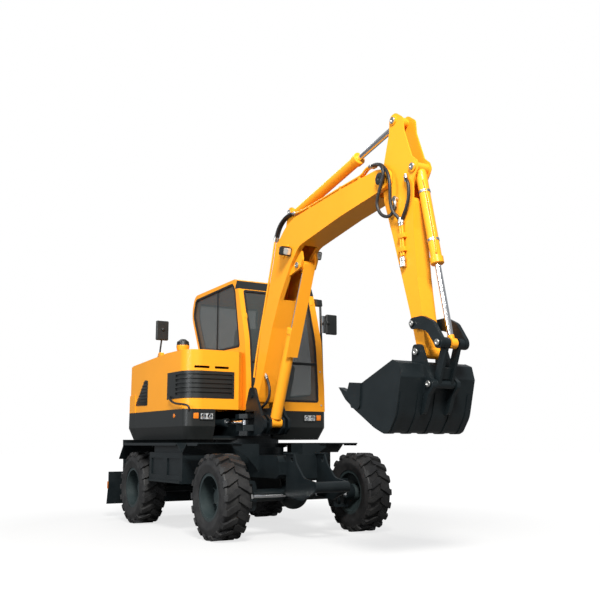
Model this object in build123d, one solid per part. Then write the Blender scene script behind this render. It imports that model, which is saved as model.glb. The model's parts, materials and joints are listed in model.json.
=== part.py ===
from build123d import *
from math import atan2, degrees, hypot, sqrt
import os

os.makedirs("parts", exist_ok=True)

# Wheeled excavator. Millimetres. +X forward, +Y to the machine's left, +Z up.
# The origin is on the floor, under the slewing centre, half way between the axles.

# ---------------------------------------------------------------- fits
pin_fit = 0.06          # radial clearance of a pin in its bore
face_gap = 0.5          # between flat faces that run on each other
swing_room = 6          # between pieces that pass each other
panel_seat = 0.4        # between a panel and what it stands on

# ---------------------------------------------------------------- wheels and axles
wheelbase = 2100
track = 1650            # between the tyres' mid-planes
tyre_radius = 412
tyre_width = 304
lug_height = 24
lug_count = 18          # on each side of the tread
rim_radius = 212
rim_width = 252
flange_height = 20
rim_wall = 12
disc_offset = 20        # disc's mid-plane, towards the machine
disc_wall = 18
hub_radius = 92
spindle_radius = 42
kingpin_radius = 20
kingpin_offset = 600    # kingpins' distance from the middle
yoke_half_height = 118
yoke_plate = 28
yoke_width = 100
axle_tube_radius = 62
diff_radius = 150
trunnion_height = 500
trunnion_radius = 24
trunnion_reach = 168    # hangers' outer faces from the axle's mid-plane
hanger_wall = 23
steer_arm = 130         # from the kingpin forward to the rod's ball
steer_arm_inset = 45
steer_rod_radius = 17
steer_barrel_radius = 40
steer_barrel_length = 330

# ---------------------------------------------------------------- chassis
chassis_length = 2440
chassis_half_width = 270
chassis_low = 575
chassis_top = 800
chassis_wall = 16
belly_low = 380
belly_length = 1180
bolster_radius = 430
bolster_top = 880
race_radius = 370
race_bore = 235
race_top = 935
fender_top = 930
fender_plate = 12
fender_under = fender_top - fender_plate
fender_lip = 30
fender_out = 975
fender_in = 480
front_fender = [(430, 95), (545, 0), (820, 0)]      # corners: x, drop below the top
rear_fender = [(-1500, 185), (-1340, 0), (280, 0), (390, 80)]
box_front = 340
box_rear = -590
box_low = 505
box_top = 825
box_out = 930
box_in = 445
rest_front = 1742       # bucket rest's cross tube
rest_tube_height = 512
rest_tube_radius = 52
rest_tube_half = 195
rest_plate = 20
rest_middle = 0         # plane half way between its plates
rest_half_width = 180
rest_pad_top = 816
tie_down_radius = 24

# ---------------------------------------------------------------- blade
blade_x = -1905
blade_low = 170
blade_top = 970
blade_half_width = 965
blade_pivot = (-1240, 490)
blade_arm_y = 305
blade_arm_width = 44
blade_cyl_foot = (-1275, 745)
blade_cyl_eye = (-1790, 480)

# ---------------------------------------------------------------- upper structure
deck_low = 975
deck_plate = 30
skirt_low = 965
skirt_bevel = 1105
skirt_top = 1288
skirt_wall = 12
skirt_lean = 55         # how far the guards' lower band leans in
engine_low = 1060
engine_size = (270, 960, 420)
engine_front = -1062
side_right = -905
side_left = 885
front_x = 335
tail_radius = 1650
weight_front = -1190
weight_top = 1500
body_low = skirt_top + panel_seat
hood_top = 1930
hood_wall = 10

lug_radius = 92
post_pin_radius = 36
post_lugs = [(1005, 1055), (1190, 1240)]     # low and high face of the bracket's two lugs
lid_front = -1040
lid_high = 1868
lid_hinge = (-1018, 1884)
lid_hinge_places = (60, 640)
bulkhead_x = -1006

# ---------------------------------------------------------------- cab
cab_right = -172
cab_left = 862
cab_rear = -975
cab_wall = 34
glass_wall = 6

# ---------------------------------------------------------------- boom, arm and bucket
boom_y = -147           # plane in which boom, arm and bucket lie
boom_width = 250
boom_wall = 12
foot_pin = (690, 1425)
tip_pin = (2990, 3180)
post_axis_x = 640
arm_width = 150
arm_eye = (3100, 3690)
bucket_pin = (3413, 1637)
guide_pin = (3370, 1868)
link_pin = (3673, 1686)
bucket_link_pin = (3555, 1376)
boom_cyl_foot = (920, 1136)
boom_cyl_eye = (1532, 2695)
arm_cyl_foot = (1360, 3290)
bucket_cyl_foot = (3350, 3200)
swing_cyl_foot = (-150, -560)      # plan view (x, y)
swing_cyl_eye = (600, -330)
swing_cyl_height = 1143
bucket_width = 760
pin_radius = 30
cylinder_pin = 24        # radius of the pins in the cylinders' feet


# ================================================================ helpers
def outline(points, radius=0):
    """A closed flat shape from its corners, each rounded by the radius given for it."""
    return make_face(FilletPolyline(*points, radius=radius, close=True))


def side_plate(face, y, width):
    """A side view (x, z) made width thick about the plane y."""
    return extrude(Plane.XZ.offset(-y) * face, width / 2, both=True)


def flat_plate(face, z, height):
    """A plan view (x, y) raised from z by height."""
    return extrude(Plane.XY.offset(z) * face, height)


def cross_bar(x, z, radius, y0, y1):
    """A round bar that runs across the machine."""
    return Pos(x, (y0 + y1) / 2, z) * Rot(90, 0, 0) * Cylinder(radius, abs(y1 - y0))


def upright_bar(x, y, radius, z0, z1):
    """A round bar that stands."""
    return Pos(x, y, (z0 + z1) / 2) * Cylinder(radius, z1 - z0)


def bar(start, end, radius):
    """A round bar between two points."""
    start, end = Vector(*start), Vector(*end)
    return extrude(Plane(origin=start, z_dir=end - start) * Circle(radius), (end - start).length)


def block(x0, x1, y0, y1, z0, z1):
    """A box between its corners."""
    return Pos((x0 + x1) / 2, (y0 + y1) / 2, (z0 + z1) / 2) * Box(abs(x1 - x0), abs(y1 - y0), abs(z1 - z0))


def save(name, shape):
    """Each sub-part is one file, named after its node."""
    shape.label = name
    export_step(shape, "parts/" + name + ".step")


def mirrored(shape):
    """The same piece on the machine's other side."""
    return mirror(shape, Plane.XZ)


# ================================================================ wheels
def tyre():
    """A tyre about the Y axis at the origin, with two rows of slanted lugs that meet in a chevron."""
    carcass = tyre_radius - lug_height
    half = tyre_width / 2
    bead = rim_width / 2
    section = outline(
        [
            (rim_radius, -bead + rim_wall),
            (rim_radius, bead - rim_wall),
            (rim_radius + flange_height, bead - rim_wall),
            (rim_radius + flange_height, bead + 8),
            (rim_radius + 0.55 * (carcass - rim_radius), half),
            (carcass - 8, half - 22),
            (carcass, 0),
            (carcass - 8, -half + 22),
            (rim_radius + 0.55 * (carcass - rim_radius), -half),
            (rim_radius + flange_height, -bead - 8),
            (rim_radius + flange_height, -bead + rim_wall),
        ],
        [0, 0, 0, 0, 45, 20, 0, 20, 45, 0, 0],
    )
    body = revolve(section, Axis.Y)
    tread = outline(
        [
            (carcass - 30, -half + 12),
            (carcass - 30, half - 12),
            (carcass - 14, half - 2),
            (tyre_radius, half - 26),
            (tyre_radius, -half + 26),
            (carcass - 14, -half + 2),
        ]
    )
    band = revolve(tread, Axis.Y)
    pitch = 360 / lug_count
    slant = 62              # how far a lug's shoulder end lies behind its nose
    blocks = []
    for side in (-1, 1):
        lug = outline(
            [
                (26, side * -6),
                (26, side * 22),
                (-slant + 30, side * (half - 34)),
                (-slant + 30, side * (half + 4)),
                (-slant - 26, side * (half + 4)),
                (-slant - 26, side * (half - 44)),
                (-22, side * -6),
            ]
        )
        bar_block = extrude(
            Plane(origin=(carcass - 40, 0, 0), x_dir=(0, 0, 1), z_dir=(1, 0, 0)) * mirror(lug, Plane.XZ),
            90,
        )
        for index in range(lug_count):
            turn = pitch * (index + 0.5 * (side > 0))
            blocks.append(Rot(0, turn, 0) * bar_block)
    lugs = Compound(children=blocks) & band
    return body + lugs


def rim():
    """A deep-dish rim about the Y axis at the origin, with its dish open towards +Y."""
    half = rim_width / 2
    barrel = outline(
        [
            (rim_radius, -half + rim_wall),
            (rim_radius, half - rim_wall),
            (rim_radius + flange_height, half - rim_wall),
            (rim_radius + flange_height, half),
            (rim_radius - rim_wall, half),
            (rim_radius - rim_wall, -half),
            (rim_radius + flange_height, -half),
            (rim_radius + flange_height, -half + rim_wall),
        ]
    )
    face = -disc_offset
    disc = outline(
        [
            (hub_radius - 20, face - disc_wall),
            (rim_radius - rim_wall, face - disc_wall - 34),
            (rim_radius - rim_wall, face - 34),
            (hub_radius + 30, face),
            (hub_radius - 20, face),
        ]
    )
    hub = outline(
        [
            (spindle_radius + pin_fit, -half + 24),
            (hub_radius - 14, -half + 24),
            (hub_radius, face - disc_wall),
            (hub_radius, face + 18),
            (hub_radius - 22, face + 62),
            (0, face + 70),
            (0, face + 30),
            (spindle_radius + pin_fit, face + 30),
        ]
    )
    wheel = revolve(barrel, Axis.Y) + revolve(disc, Axis.Y) + revolve(hub, Axis.Y)
    nut = Pos(0, face + 9, 0) * Rot(90, 0, 0) * extrude(RegularPolygon(14, 6), 12, both=True)
    for index in range(8):
        wheel += Rot(0, 45 * index, 0) * Pos(hub_radius + 24, 0, 0) * nut
    for index in range(8):
        rib = block(hub_radius + 40, rim_radius - rim_wall - 1, face - 20, face + 14, -5, 5)
        wheel += Rot(0, 45 * index + 22.5, 0) * rib
    return wheel


wheel_places = {
    # name: (x, side)
    "front_left": (wheelbase / 2, 1),
    "front_right": (wheelbase / 2, -1),
    "rear_left": (-wheelbase / 2, 1),
    "rear_right": (-wheelbase / 2, -1),
}
left_tyre = tyre()
left_rim = rim()
for name, (x, side) in wheel_places.items():
    place = Pos(x, side * track / 2, tyre_radius)
    save("tyre_" + name, place * (left_tyre if side > 0 else mirrored(left_tyre)))
    save("rim_" + name, place * (left_rim if side > 0 else mirrored(left_rim)))


# ================================================================ axles
axle_height = tyre_radius
spindle_end = track / 2 - disc_offset + 22


def knuckle():
    """Left knuckle: upright between the yoke's plates, spindle, and arm forward to the steering rod."""
    x = wheelbase / 2
    half = yoke_half_height - face_gap
    upright = upright_bar(x, kingpin_offset, yoke_width / 2 - 2, axle_height - half, axle_height + half)
    pins = upright_bar(
        x, kingpin_offset, kingpin_radius, axle_height - half - yoke_plate, axle_height + half + yoke_plate
    )
    spindle = Pos(x, 0, axle_height) * cross_bar(0, 0, spindle_radius, kingpin_offset, spindle_end)
    flange = Pos(x, 0, axle_height) * cross_bar(
        0, 0, 78, kingpin_offset + 30, track / 2 - rim_width / 2 + 20
    )
    ball_y = kingpin_offset - steer_arm_inset
    arm = flat_plate(
        outline(
            [
                (x - 30, kingpin_offset + 30),
                (x + steer_arm + 26, ball_y + 26),
                (x + steer_arm + 26, ball_y - 26),
                (x - 30, kingpin_offset - 36),
            ],
            [10, 24, 24, 10],
        ),
        axle_height - 40,
        20,
    )
    return upright + pins + spindle + flange + arm


def front_axle():
    """Beam with its differential, a yoke at each end, and the steering cylinder's barrel in front."""
    x = wheelbase / 2
    tube = cross_bar(x, axle_height, axle_tube_radius, -kingpin_offset + 110, kingpin_offset - 110)
    housing = Pos(x, 0, axle_height) * Sphere(diff_radius)
    housing = housing & block(
        x - 118, x + 150, -diff_radius, diff_radius, axle_height - 150, axle_height + 118
    )
    trunnion = bar(
        (x - trunnion_reach - 8, 0, trunnion_height),
        (x + trunnion_reach, 0, trunnion_height),
        trunnion_radius,
    )
    beam = tube + housing + trunnion
    for side in (-1, 1):
        cheek = outline(
            [
                (kingpin_offset - 150, -axle_tube_radius),
                (kingpin_offset - 126, -yoke_half_height - yoke_plate),
                (kingpin_offset + yoke_width / 2, -yoke_half_height - yoke_plate),
                (kingpin_offset + yoke_width / 2, -yoke_half_height),
                (kingpin_offset - 100, -yoke_half_height),
                (kingpin_offset - 100, yoke_half_height),
                (kingpin_offset + yoke_width / 2, yoke_half_height),
                (kingpin_offset + yoke_width / 2, yoke_half_height + yoke_plate),
                (kingpin_offset - 126, yoke_half_height + yoke_plate),
                (kingpin_offset - 150, axle_tube_radius),
            ],
            [0, 24, 0, 0, 16, 16, 0, 0, 24, 0],
        )
        face = Plane(origin=(x, 0, axle_height), x_dir=(0, side, 0), z_dir=(side, 0, 0)) * cheek
        fork = extrude(face, yoke_width / 2, both=True)
        fork -= upright_bar(
            x, side * kingpin_offset, kingpin_radius + pin_fit, axle_height - 200, axle_height + 200
        )
        beam += fork
    barrel = cross_bar(
        x + steer_arm,
        axle_height,
        steer_barrel_radius,
        -steer_barrel_length / 2,
        steer_barrel_length / 2,
    )
    foot = block(x + diff_radius - 60, x + steer_arm + 8, -50, 50, axle_height - 34, axle_height + 34)
    beam += barrel + foot
    beam -= cross_bar(x + steer_arm, axle_height, steer_rod_radius + pin_fit, -400, 400)
    return beam


def steering_rod():
    """Rod through the steering cylinder, with a flat eye over each knuckle's arm."""
    x = wheelbase / 2 + steer_arm
    ball_y = kingpin_offset - steer_arm_inset
    rod = cross_bar(x, axle_height, steer_rod_radius, -ball_y + 20, ball_y - 20)
    for side in (-1, 1):
        rod += upright_bar(x, side * ball_y, 26, axle_height - 20 + face_gap, axle_height + 20)
    return rod


def rear_axle():
    """Rigid beam with its differential, a spindle at each end, and bolted pads up to the chassis."""
    x = -wheelbase / 2
    tube = cross_bar(
        x, axle_height, axle_tube_radius, -track / 2 + rim_width / 2, track / 2 - rim_width / 2
    )
    housing = Pos(x, 0, axle_height) * Sphere(diff_radius)
    housing = housing & block(
        x - 150, x + 118, -diff_radius, diff_radius, axle_height - 150, axle_height + 118
    )
    nose = bar((x + 100, 0, axle_height + 20), (x + 300, 0, axle_height + 40), 70)
    beam = tube + housing + nose
    for side in (-1, 1):
        end = track / 2 - rim_width / 2
        beam += cross_bar(x, axle_height, 104, side * (end - 40), side * (end + 20))
        beam += cross_bar(x, axle_height, spindle_radius, side * end, side * spindle_end)
        beam += block(x - 70, x + 70, side * 215 - 45, side * 215 + 45, axle_height, chassis_low)
    return beam


save("knuckle_left", knuckle())
save("knuckle_right", mirrored(knuckle()))
save("front_axle", front_axle())
save("steering_rod", steering_rod())
save("rear_axle", rear_axle())


# ================================================================ chassis
def chassis_side(inset=0.0):
    """Side view of the box frame, deeper between the axles."""
    half = chassis_length / 2 - inset
    low = chassis_low + inset
    high = chassis_top - inset
    belly = belly_length / 2 - inset
    return outline(
        [
            (-half, low),
            (-half, high - 90),
            (-half + 110, high),
            (half - 40, high),
            (half, high - 60),
            (half, low + 40),
            (half - 60, low),
            (belly, low),
            (belly - 90, belly_low + inset),
            (-belly + 90, belly_low + inset),
            (-belly, low),
        ]
    )


def chassis():
    """Welded box frame with the slewing ring's lower race on top, hangers and brackets."""
    half = chassis_length / 2
    frame = side_plate(chassis_side(), 0, 2 * chassis_half_width)
    frame -= side_plate(chassis_side(chassis_wall), 0, 2 * (chassis_half_width - chassis_wall))
    frame += upright_bar(0, 0, bolster_radius, chassis_top - 2, bolster_top)
    frame += upright_bar(0, 0, race_radius, bolster_top - 1, race_top)
    frame -= upright_bar(0, 0, race_bore, chassis_top - chassis_wall - 4, race_top + 10)
    # wings that carry the fenders: x, reach from the middle
    for x, reach in [
        (560, fender_out - 80),
        (790, fender_in + 90),
        (-600, fender_out - 80),
        (-1180, fender_in + 90),
    ]:
        for way in (-1, 1):
            wing = outline(
                [
                    (chassis_half_width - 4, chassis_low + 65),
                    (chassis_half_width - 4, fender_under),
                    (reach, fender_under),
                    (reach, fender_under - 36),
                    (chassis_half_width + 130, fender_under - 138),
                ]
            )
            face = Plane(origin=(x, 0, 0), x_dir=(0, way, 0), z_dir=(way, 0, 0)) * wing
            frame += extrude(face, fender_plate / 2, both=True)
    # hangers for the front axle's trunnion
    for way in (-1, 1):
        x = wheelbase / 2 + way * (trunnion_reach - hanger_wall / 2)
        hanger = outline(
            [
                (-90, chassis_low + 60),
                (90, chassis_low + 60),
                (44, trunnion_height - 40),
                (-44, trunnion_height - 40),
            ],
        )
        face = Plane(origin=(x, 0, 0), x_dir=(0, 1, 0), z_dir=(1, 0, 0)) * hanger
        frame += extrude(face, hanger_wall / 2, both=True)
    front = wheelbase / 2
    trunnion = (front - 400, 0, trunnion_height), (front + 400, 0, trunnion_height)
    frame -= bar(*trunnion, trunnion_radius + pin_fit)
    # blade brackets and the clevis for its cylinder
    for way in (-1, 1):
        px, pz = blade_pivot
        bracket = outline(
            [
                (px - 50, pz - 46),
                (px - 50, pz + 80),
                (-half + 4, chassis_top - 130),
                (-half + 90, chassis_low + 40),
                (-half + 90, chassis_low),
                (px + 50, pz - 46),
            ],
            [40, 40, 0, 0, 0, 40],
        )
        frame += side_plate(bracket, way * (blade_arm_y - blade_arm_width / 2 - swing_room - 12), 24)
        inner_y = blade_arm_y - blade_arm_width / 2 - swing_room - 20
        outer_y = blade_arm_y + blade_arm_width / 2 + 14
        frame += cross_bar(px, pz, pin_radius, way * inner_y, way * outer_y)
        cx, cz = blade_cyl_foot
        clevis = outline(
            [
                (cx - 40, cz - 34),
                (cx - 40, cz + 34),
                (cx + 34, cz + 40),
                (-half + 110, chassis_top - 4),
                (-half + 30, chassis_top - 150),
            ],
            [34, 34, 20, 0, 0],
        )
        frame += side_plate(clevis, way * 56, 20)
    frame += cross_bar(*blade_cyl_foot, cylinder_pin, -74, 74)
    return frame


def fender_pair(corners):
    """Left and right fenders, bent at corners that are each given as x and drop below the top."""
    top = [(x, fender_top - drop) for x, drop in corners]
    under = [(x, z - fender_plate) for x, z in reversed(top)]
    middle = (fender_in + fender_out) / 2
    sheet = side_plate(outline(top + under), middle, fender_out - fender_in)
    level = [x for x, drop in corners if drop == 0]
    lip = outline(
        [
            (level[0], fender_top),
            (level[-1], fender_top),
            (level[-1] - 20, fender_top - fender_lip),
            (level[0] + 20, fender_top - fender_lip),
        ]
    )
    one = sheet + side_plate(lip, fender_out - 3, 6)
    return Compound(children=[one, mirrored(one)])


def step_boxes():
    """Tool box and tank between the wheels, with two recessed doors, a lower ledge and a riser below the fender."""
    length = box_front - box_rear
    side = outline(
        [
            (box_rear, box_low + 30),
            (box_rear, box_top),
            (box_front, box_top),
            (box_front, box_low),
            (box_rear + 40, box_low),
        ]
    )
    body = side_plate(side, (box_out + box_in) / 2, box_out - box_in)
    for index in range(2):
        x = box_rear + 60 + index * (length / 2 - 10)
        body -= block(x, x + length / 2 - 110, box_out - 14, box_out + 5, box_low + 80, box_top - 60)
    ledge = block(box_rear + 20, box_front, box_out, box_out + 28, box_low + 4, box_low + 26)
    joint = block(-200, 200, chassis_half_width, box_in, 600, 700)
    riser = block(
        box_rear + 40,
        box_front - 80,
        box_out - 60,
        box_out - 40,
        box_top - 1,
        fender_under - panel_seat,
    )
    one = body + ledge + joint + riser
    return Compound(children=[one, mirrored(one)])


def bucket_rest():
    """Two side plates with hollowed front edges and a cross tube, bolted to the chassis nose."""
    nose = chassis_length / 2
    side = outline(
        [
            (nose + 0.5, chassis_low - 170),
            (nose + 0.5, rest_pad_top),
            (nose + 150, rest_pad_top),
            (nose + 195, rest_pad_top - 90),
            (nose + 330, rest_tube_height + rest_tube_radius + 30),
            (rest_front, rest_tube_height + rest_tube_radius),
            (rest_front, rest_tube_height - rest_tube_radius),
            (nose + 300, chassis_low - 200),
        ],
        [20, 0, 0, 60, 130, 20, 20, 60],
    )
    rest = cross_bar(
        rest_front,
        rest_tube_height,
        rest_tube_radius,
        rest_middle - rest_tube_half,
        rest_middle + rest_tube_half,
    )
    for y in (-1, 1):
        plate = side_plate(side, rest_middle + y * rest_half_width, rest_plate)
        plate -= cross_bar(nose + 120, rest_pad_top - 55, tie_down_radius, -600, 600)
        rest += plate
        pad = block(nose + 0.5, nose + 150, -40, 40, rest_pad_top, rest_pad_top + 16)
        rest += Pos(0, rest_middle + y * rest_half_width, 0) * pad
    rest += block(
        nose + 0.5,
        nose + 18,
        rest_middle - rest_half_width,
        rest_middle + rest_half_width,
        chassis_low,
        rest_pad_top,
    )
    rest += block(
        nose + 0.5,
        nose + 260,
        rest_middle - rest_half_width,
        rest_middle + rest_half_width,
        chassis_low - 90,
        chassis_low - 74,
    )
    return rest


save("chassis", chassis())
save("fenders_front", fender_pair(front_fender))
save("fenders_rear", fender_pair(rear_fender))
save("step_boxes", step_boxes())
save("bucket_rest", bucket_rest())


# ================================================================ upper structure
def plan_outline(inset=0.0, front=front_x):
    """Plan of the upper structure: straight sides, a round tail about the slewing centre."""
    right = side_right + inset
    left = side_left - inset
    tail = tail_radius - inset
    fore = front - inset
    corner = 90
    edge = [
        Line((fore, right + corner), (fore, left - corner * 0.6)),
        Line((fore, left - corner * 0.6), (fore - corner * 0.6, left)),
        Line((fore - corner * 0.6, left), (-sqrt(tail**2 - left**2), left)),
        ThreePointArc((-sqrt(tail**2 - left**2), left), (-tail, 0), (-sqrt(tail**2 - right**2), right)),
        Line((-sqrt(tail**2 - right**2), right), (fore - corner, right)),
        RadiusArc((fore - corner, right), (fore, right + corner), -corner),
    ]
    return make_face(edge)


deck_inset = skirt_lean * (skirt_bevel - deck_low) / (skirt_bevel - skirt_low) + skirt_wall + panel_seat


def skirt_volume(inset=0.0):
    """Closed form of the lower guards: an upright band over one that leans in towards its lower edge."""
    upper = flat_plate(plan_outline(inset), skirt_bevel, skirt_top - skirt_bevel)
    lower = loft(
        [
            Plane.XY.offset(skirt_low) * plan_outline(inset + skirt_lean),
            Plane.XY.offset(skirt_bevel) * plan_outline(inset),
        ]
    )
    return upper + lower


def deck():
    """Turntable floor with the slewing ring's upper race, two rails, and the boom's bracket lugs."""
    floor = flat_plate(plan_outline(deck_inset), deck_low, deck_plate)
    race = Pos(0, 0, (race_top + face_gap + deck_low) / 2) * Cylinder(
        race_radius, deck_low - race_top - face_gap
    )
    frame = floor + race
    frame -= upright_bar(0, 0, race_bore - 40, race_top - 5, deck_low + deck_plate + 5)
    rail_top = deck_low + deck_plate + 190
    for y in (boom_y - 130, boom_y + 130):
        rail = outline(
            [
                (-1050, deck_low + deck_plate - 1),
                (-1050, deck_low + deck_plate + 60),
                (-700, rail_top),
                (front_x - 10, rail_top),
                (front_x - 10, deck_low + deck_plate - 1),
            ]
        )
        frame += side_plate(rail, y, 22)
    for low, high in post_lugs:
        lug = outline(
            [
                (front_x - 30, boom_y - 150),
                (front_x + 60, boom_y - 150),
                (front_x + 150, boom_y - lug_radius),
                (post_axis_x, boom_y - lug_radius),
                (post_axis_x + lug_radius, boom_y - lug_radius),
                (post_axis_x + lug_radius, boom_y + lug_radius),
                (post_axis_x, boom_y + lug_radius),
                (front_x + 150, boom_y + lug_radius),
                (front_x + 60, boom_y + 150),
                (front_x - 30, boom_y + 150),
            ],
            [0, 0, 20, 0, lug_radius - 2, lug_radius - 2, 0, 20, 0, 0],
        )
        plate = flat_plate(lug, low, high - low)
        plate -= upright_bar(post_axis_x, boom_y, post_pin_radius + pin_fit, low - 5, high + 5)
        frame += plate
    deck_top = deck_low + deck_plate
    frame += block(front_x - 30, front_x - 10, boom_y - 150, boom_y + 150, deck_top - 1, post_lugs[1][1])
    # bulkhead between cab and engine, with the lid's hinge ears
    frame += block(bulkhead_x - 12, bulkhead_x, cab_right, side_left - 62, deck_top - 1, lid_hinge[1] - 40)
    for y in lid_hinge_places:
        for way in (-1, 1):
            ear = outline(
                [
                    (bulkhead_x - 12, lid_hinge[1] - 90),
                    (bulkhead_x - 12, lid_hinge[1] - 30),
                    (lid_hinge[0] - 16, lid_hinge[1] + 12),
                    (lid_hinge[0] + 16, lid_hinge[1] + 12),
                    (bulkhead_x + 8, lid_hinge[1] - 60),
                    (bulkhead_x, lid_hinge[1] - 90),
                ],
                [0, 0, 12, 12, 0, 0],
            )
            frame += side_plate(ear, y + way * 40, 12)
        frame += cross_bar(*lid_hinge, 10, y - 48, y + 48)
    x, y = swing_cyl_foot
    for low in (swing_cyl_height - 24.5 - 20, swing_cyl_height + 24.5):
        ear = outline(
            [
                (x - 46, y - 90),
                (x - 46, y + 26),
                (x - 20, y + 34),
                (x + 4, y + 30),
                (x + 16, y - 10),
                (x + 16, y - 90),
            ],
        )
        frame += flat_plate(ear, low, 20)
    frame += block(x - 46, x + 16, y - 92, y - 60, deck_top - 1, swing_cyl_height + 44)
    frame += upright_bar(x, y, cylinder_pin, swing_cyl_height - 44, swing_cyl_height + 50)
    for x in (-880, 200):
        for y in (cab_right + 80, cab_left - 80):
            frame += upright_bar(x, y, 42, deck_top - 1, body_low)
    for x in (-900, 200):
        frame += block(x - 40, x + 40, side_right + 70, side_right + 150, deck_top - 1, body_low)
    return frame


def counterweight():
    """Cast tail weight, its back face on the tail circle, with the engine's bay hollowed into its front."""
    tail = block(-2000, weight_front, -2000, 2000, 0, 3000)
    weight = skirt_volume() + flat_plate(plan_outline(0), skirt_top - 1, weight_top - skirt_top + 1)
    weight &= tail
    weight -= flat_plate(
        plan_outline(deck_inset - panel_seat),
        skirt_low - 5,
        deck_low + deck_plate + panel_seat - skirt_low + 5,
    )
    length, width, _ = engine_size
    bay = engine_front - length - 30
    weight -= block(bay, weight_front + 5, -width / 2 - 30, width / 2 + 30, deck_low, weight_top + 5)
    return weight


save("deck", deck())
save("counterweight", counterweight())


def guards():
    """Lower guards, ending at the counterweight, open in front of the boom's bracket, with lamp recesses."""
    ring = skirt_volume() - skirt_volume(skirt_wall)
    ring -= block(-2000, weight_front + face_gap, -2000, 2000, 0, 3000)
    ring -= block(front_x - 60, front_x + 20, boom_y - 410, boom_y + 330, skirt_low - 5, skirt_top + 5)
    ring -= upright_bar(0, 0, race_radius + swing_room, skirt_low - 5, deck_low + 2)
    width, height = lamp_size
    for y in lamp_places:
        ring -= block(front_x - 30, front_x + 10, y - width / 2, y + width / 2, lamp_low, lamp_low + height)
    return ring


lamp_size = (150, 70)
lamp_low = 1178
lamp_places = (-660, 647)


def front_lamps():
    """Square head lamps with their side indicators, set in the guards."""
    width, height = lamp_size
    seat = panel_seat
    return Compound(
        children=[
            block(
                front_x - 24,
                front_x + 6,
                y - width / 2 + seat,
                y + width / 2 - seat,
                lamp_low + seat,
                lamp_low + height - seat,
            )
            for y in lamp_places
        ]
    )


# ================================================================ hood
hood_front = front_x - 5
hood_side = side_right + 8
hood_inner = cab_right - 12
grille_low = 1405
grille_high = 1700
grille_rear = -200
grille_inner = -330
corner_radius = 190


def hood_plan(inset=0.0):
    """Plan of the right-hand hood: rounded front corner, inner wall beside the cab."""
    fore = hood_front - inset
    right = hood_side + inset
    inner = hood_inner - inset
    tail = tail_radius - 12 - inset
    radius = corner_radius - inset
    return make_face(
        [
            Line((fore, right + radius), (fore, inner - 90)),
            Line((fore, inner - 90), (fore - 90, inner)),
            Line((fore - 90, inner), (-sqrt(tail**2 - inner**2), inner)),
            ThreePointArc(
                (-sqrt(tail**2 - inner**2), inner),
                (-sqrt(tail**2 - (inner - 300) ** 2), inner - 300),
                (-sqrt(tail**2 - right**2), right),
            ),
            Line((-sqrt(tail**2 - right**2), right), (fore - radius, right)),
            RadiusArc((fore - radius, right), (fore, right + radius), -radius),
        ]
    )


def hood_volume(inset=0.0):
    """Closed form of the hood, its top sloping down to the rear and rounded along its outer edge."""
    body = flat_plate(hood_plan(inset), body_low, 700)
    cut = outline(
        [
            (-2200, 1500),
            (-2200, 2400),
            (800, 2400),
            (800, hood_top - inset),
            (-240, hood_top - inset),
            (-1300, 1868 - inset),
            (-2200, 1700),
        ],
    )
    return body - side_plate(cut, 0, 4000)


def hood():
    """Right-hand hood: pressed shell with its side and front walls, grille opening and two slots."""
    shell = hood_volume(0) - (hood_volume(hood_wall) + Pos(0, 0, -200) * hood_volume(hood_wall))
    shell -= block(
        grille_rear, hood_front + 40, hood_side - 40, grille_inner, grille_low, grille_high
    ) - block(
        -1000, hood_front - corner_radius, hood_side + 60, 0, 1000, 2000
    )
    for y in (-800, -568):
        shell -= block(hood_front - 60, hood_front + 30, y, y + 170, grille_high + 28, grille_high + 54)
    shell -= block(-3000, weight_front + panel_seat, -3000, 3000, 1000, weight_top + panel_seat)
    shell -= block(-3000, bulkhead_x + 60, hood_inner - 60, 0, 1000, weight_top + panel_seat)
    return shell


def grille():
    """Black frame round the hood's front corner with five level slats."""
    outer = hood_plan(-4)
    frame = flat_plate(outer, grille_low + panel_seat, grille_high - grille_low - 2 * panel_seat)
    frame -= flat_plate(hood_plan(hood_wall + 14), grille_low, grille_high - grille_low)
    keep = block(grille_rear + panel_seat, hood_front + 40, hood_side - 40, grille_inner - 1, 0, 3000)
    keep -= block(-1000, hood_front - corner_radius - 4, hood_side + 40, 0, 1000, 2000)
    frame &= keep
    band = (grille_high - grille_low - 2 * 26) / 5
    window = block(30, hood_front + 40, hood_side - 40, grille_inner - 26, 0, 3000)
    for index in range(5):
        low = grille_low + 26 + band * index
        frame -= window & block(-500, 1000, -2000, 0, low + 8, low + band - 8) & (
            flat_plate(hood_plan(-20), low, band) - flat_plate(hood_plan(hood_wall), low, band)
        )
    return frame


# ================================================================ engine
def engine_block():
    """Engine, closed in behind the cab: one plain mass on its four mounts."""
    length, width, height = engine_size
    mass = block(
        engine_front - length, engine_front, -width / 2, width / 2, engine_low, engine_low + height
    )
    for x in (engine_front - 40, engine_front - length + 40):
        for y in (-width / 2 + 90, width / 2 - 90):
            mass += upright_bar(x, y, 30, deck_low + deck_plate + panel_seat, engine_low + 1)
    return mass


def lid_plan(inset):
    """Plan of the engine lid, its rear edge on the tail circle."""
    front = lid_front - inset
    left = side_left - 8 - inset
    right = hood_inner + swing_room + inset
    radius = tail_radius - 14 - inset
    middle = (left + right) / 2
    return make_face(
        [
            Line((front, right), (front, left)),
            Line((front, left), (-sqrt(radius**2 - left**2), left)),
            ThreePointArc(
                (-sqrt(radius**2 - left**2), left),
                (-sqrt(radius**2 - middle**2), middle),
                (-sqrt(radius**2 - right**2), right),
            ),
            Line((-sqrt(radius**2 - right**2), right), (front, right)),
        ]
    )


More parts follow.
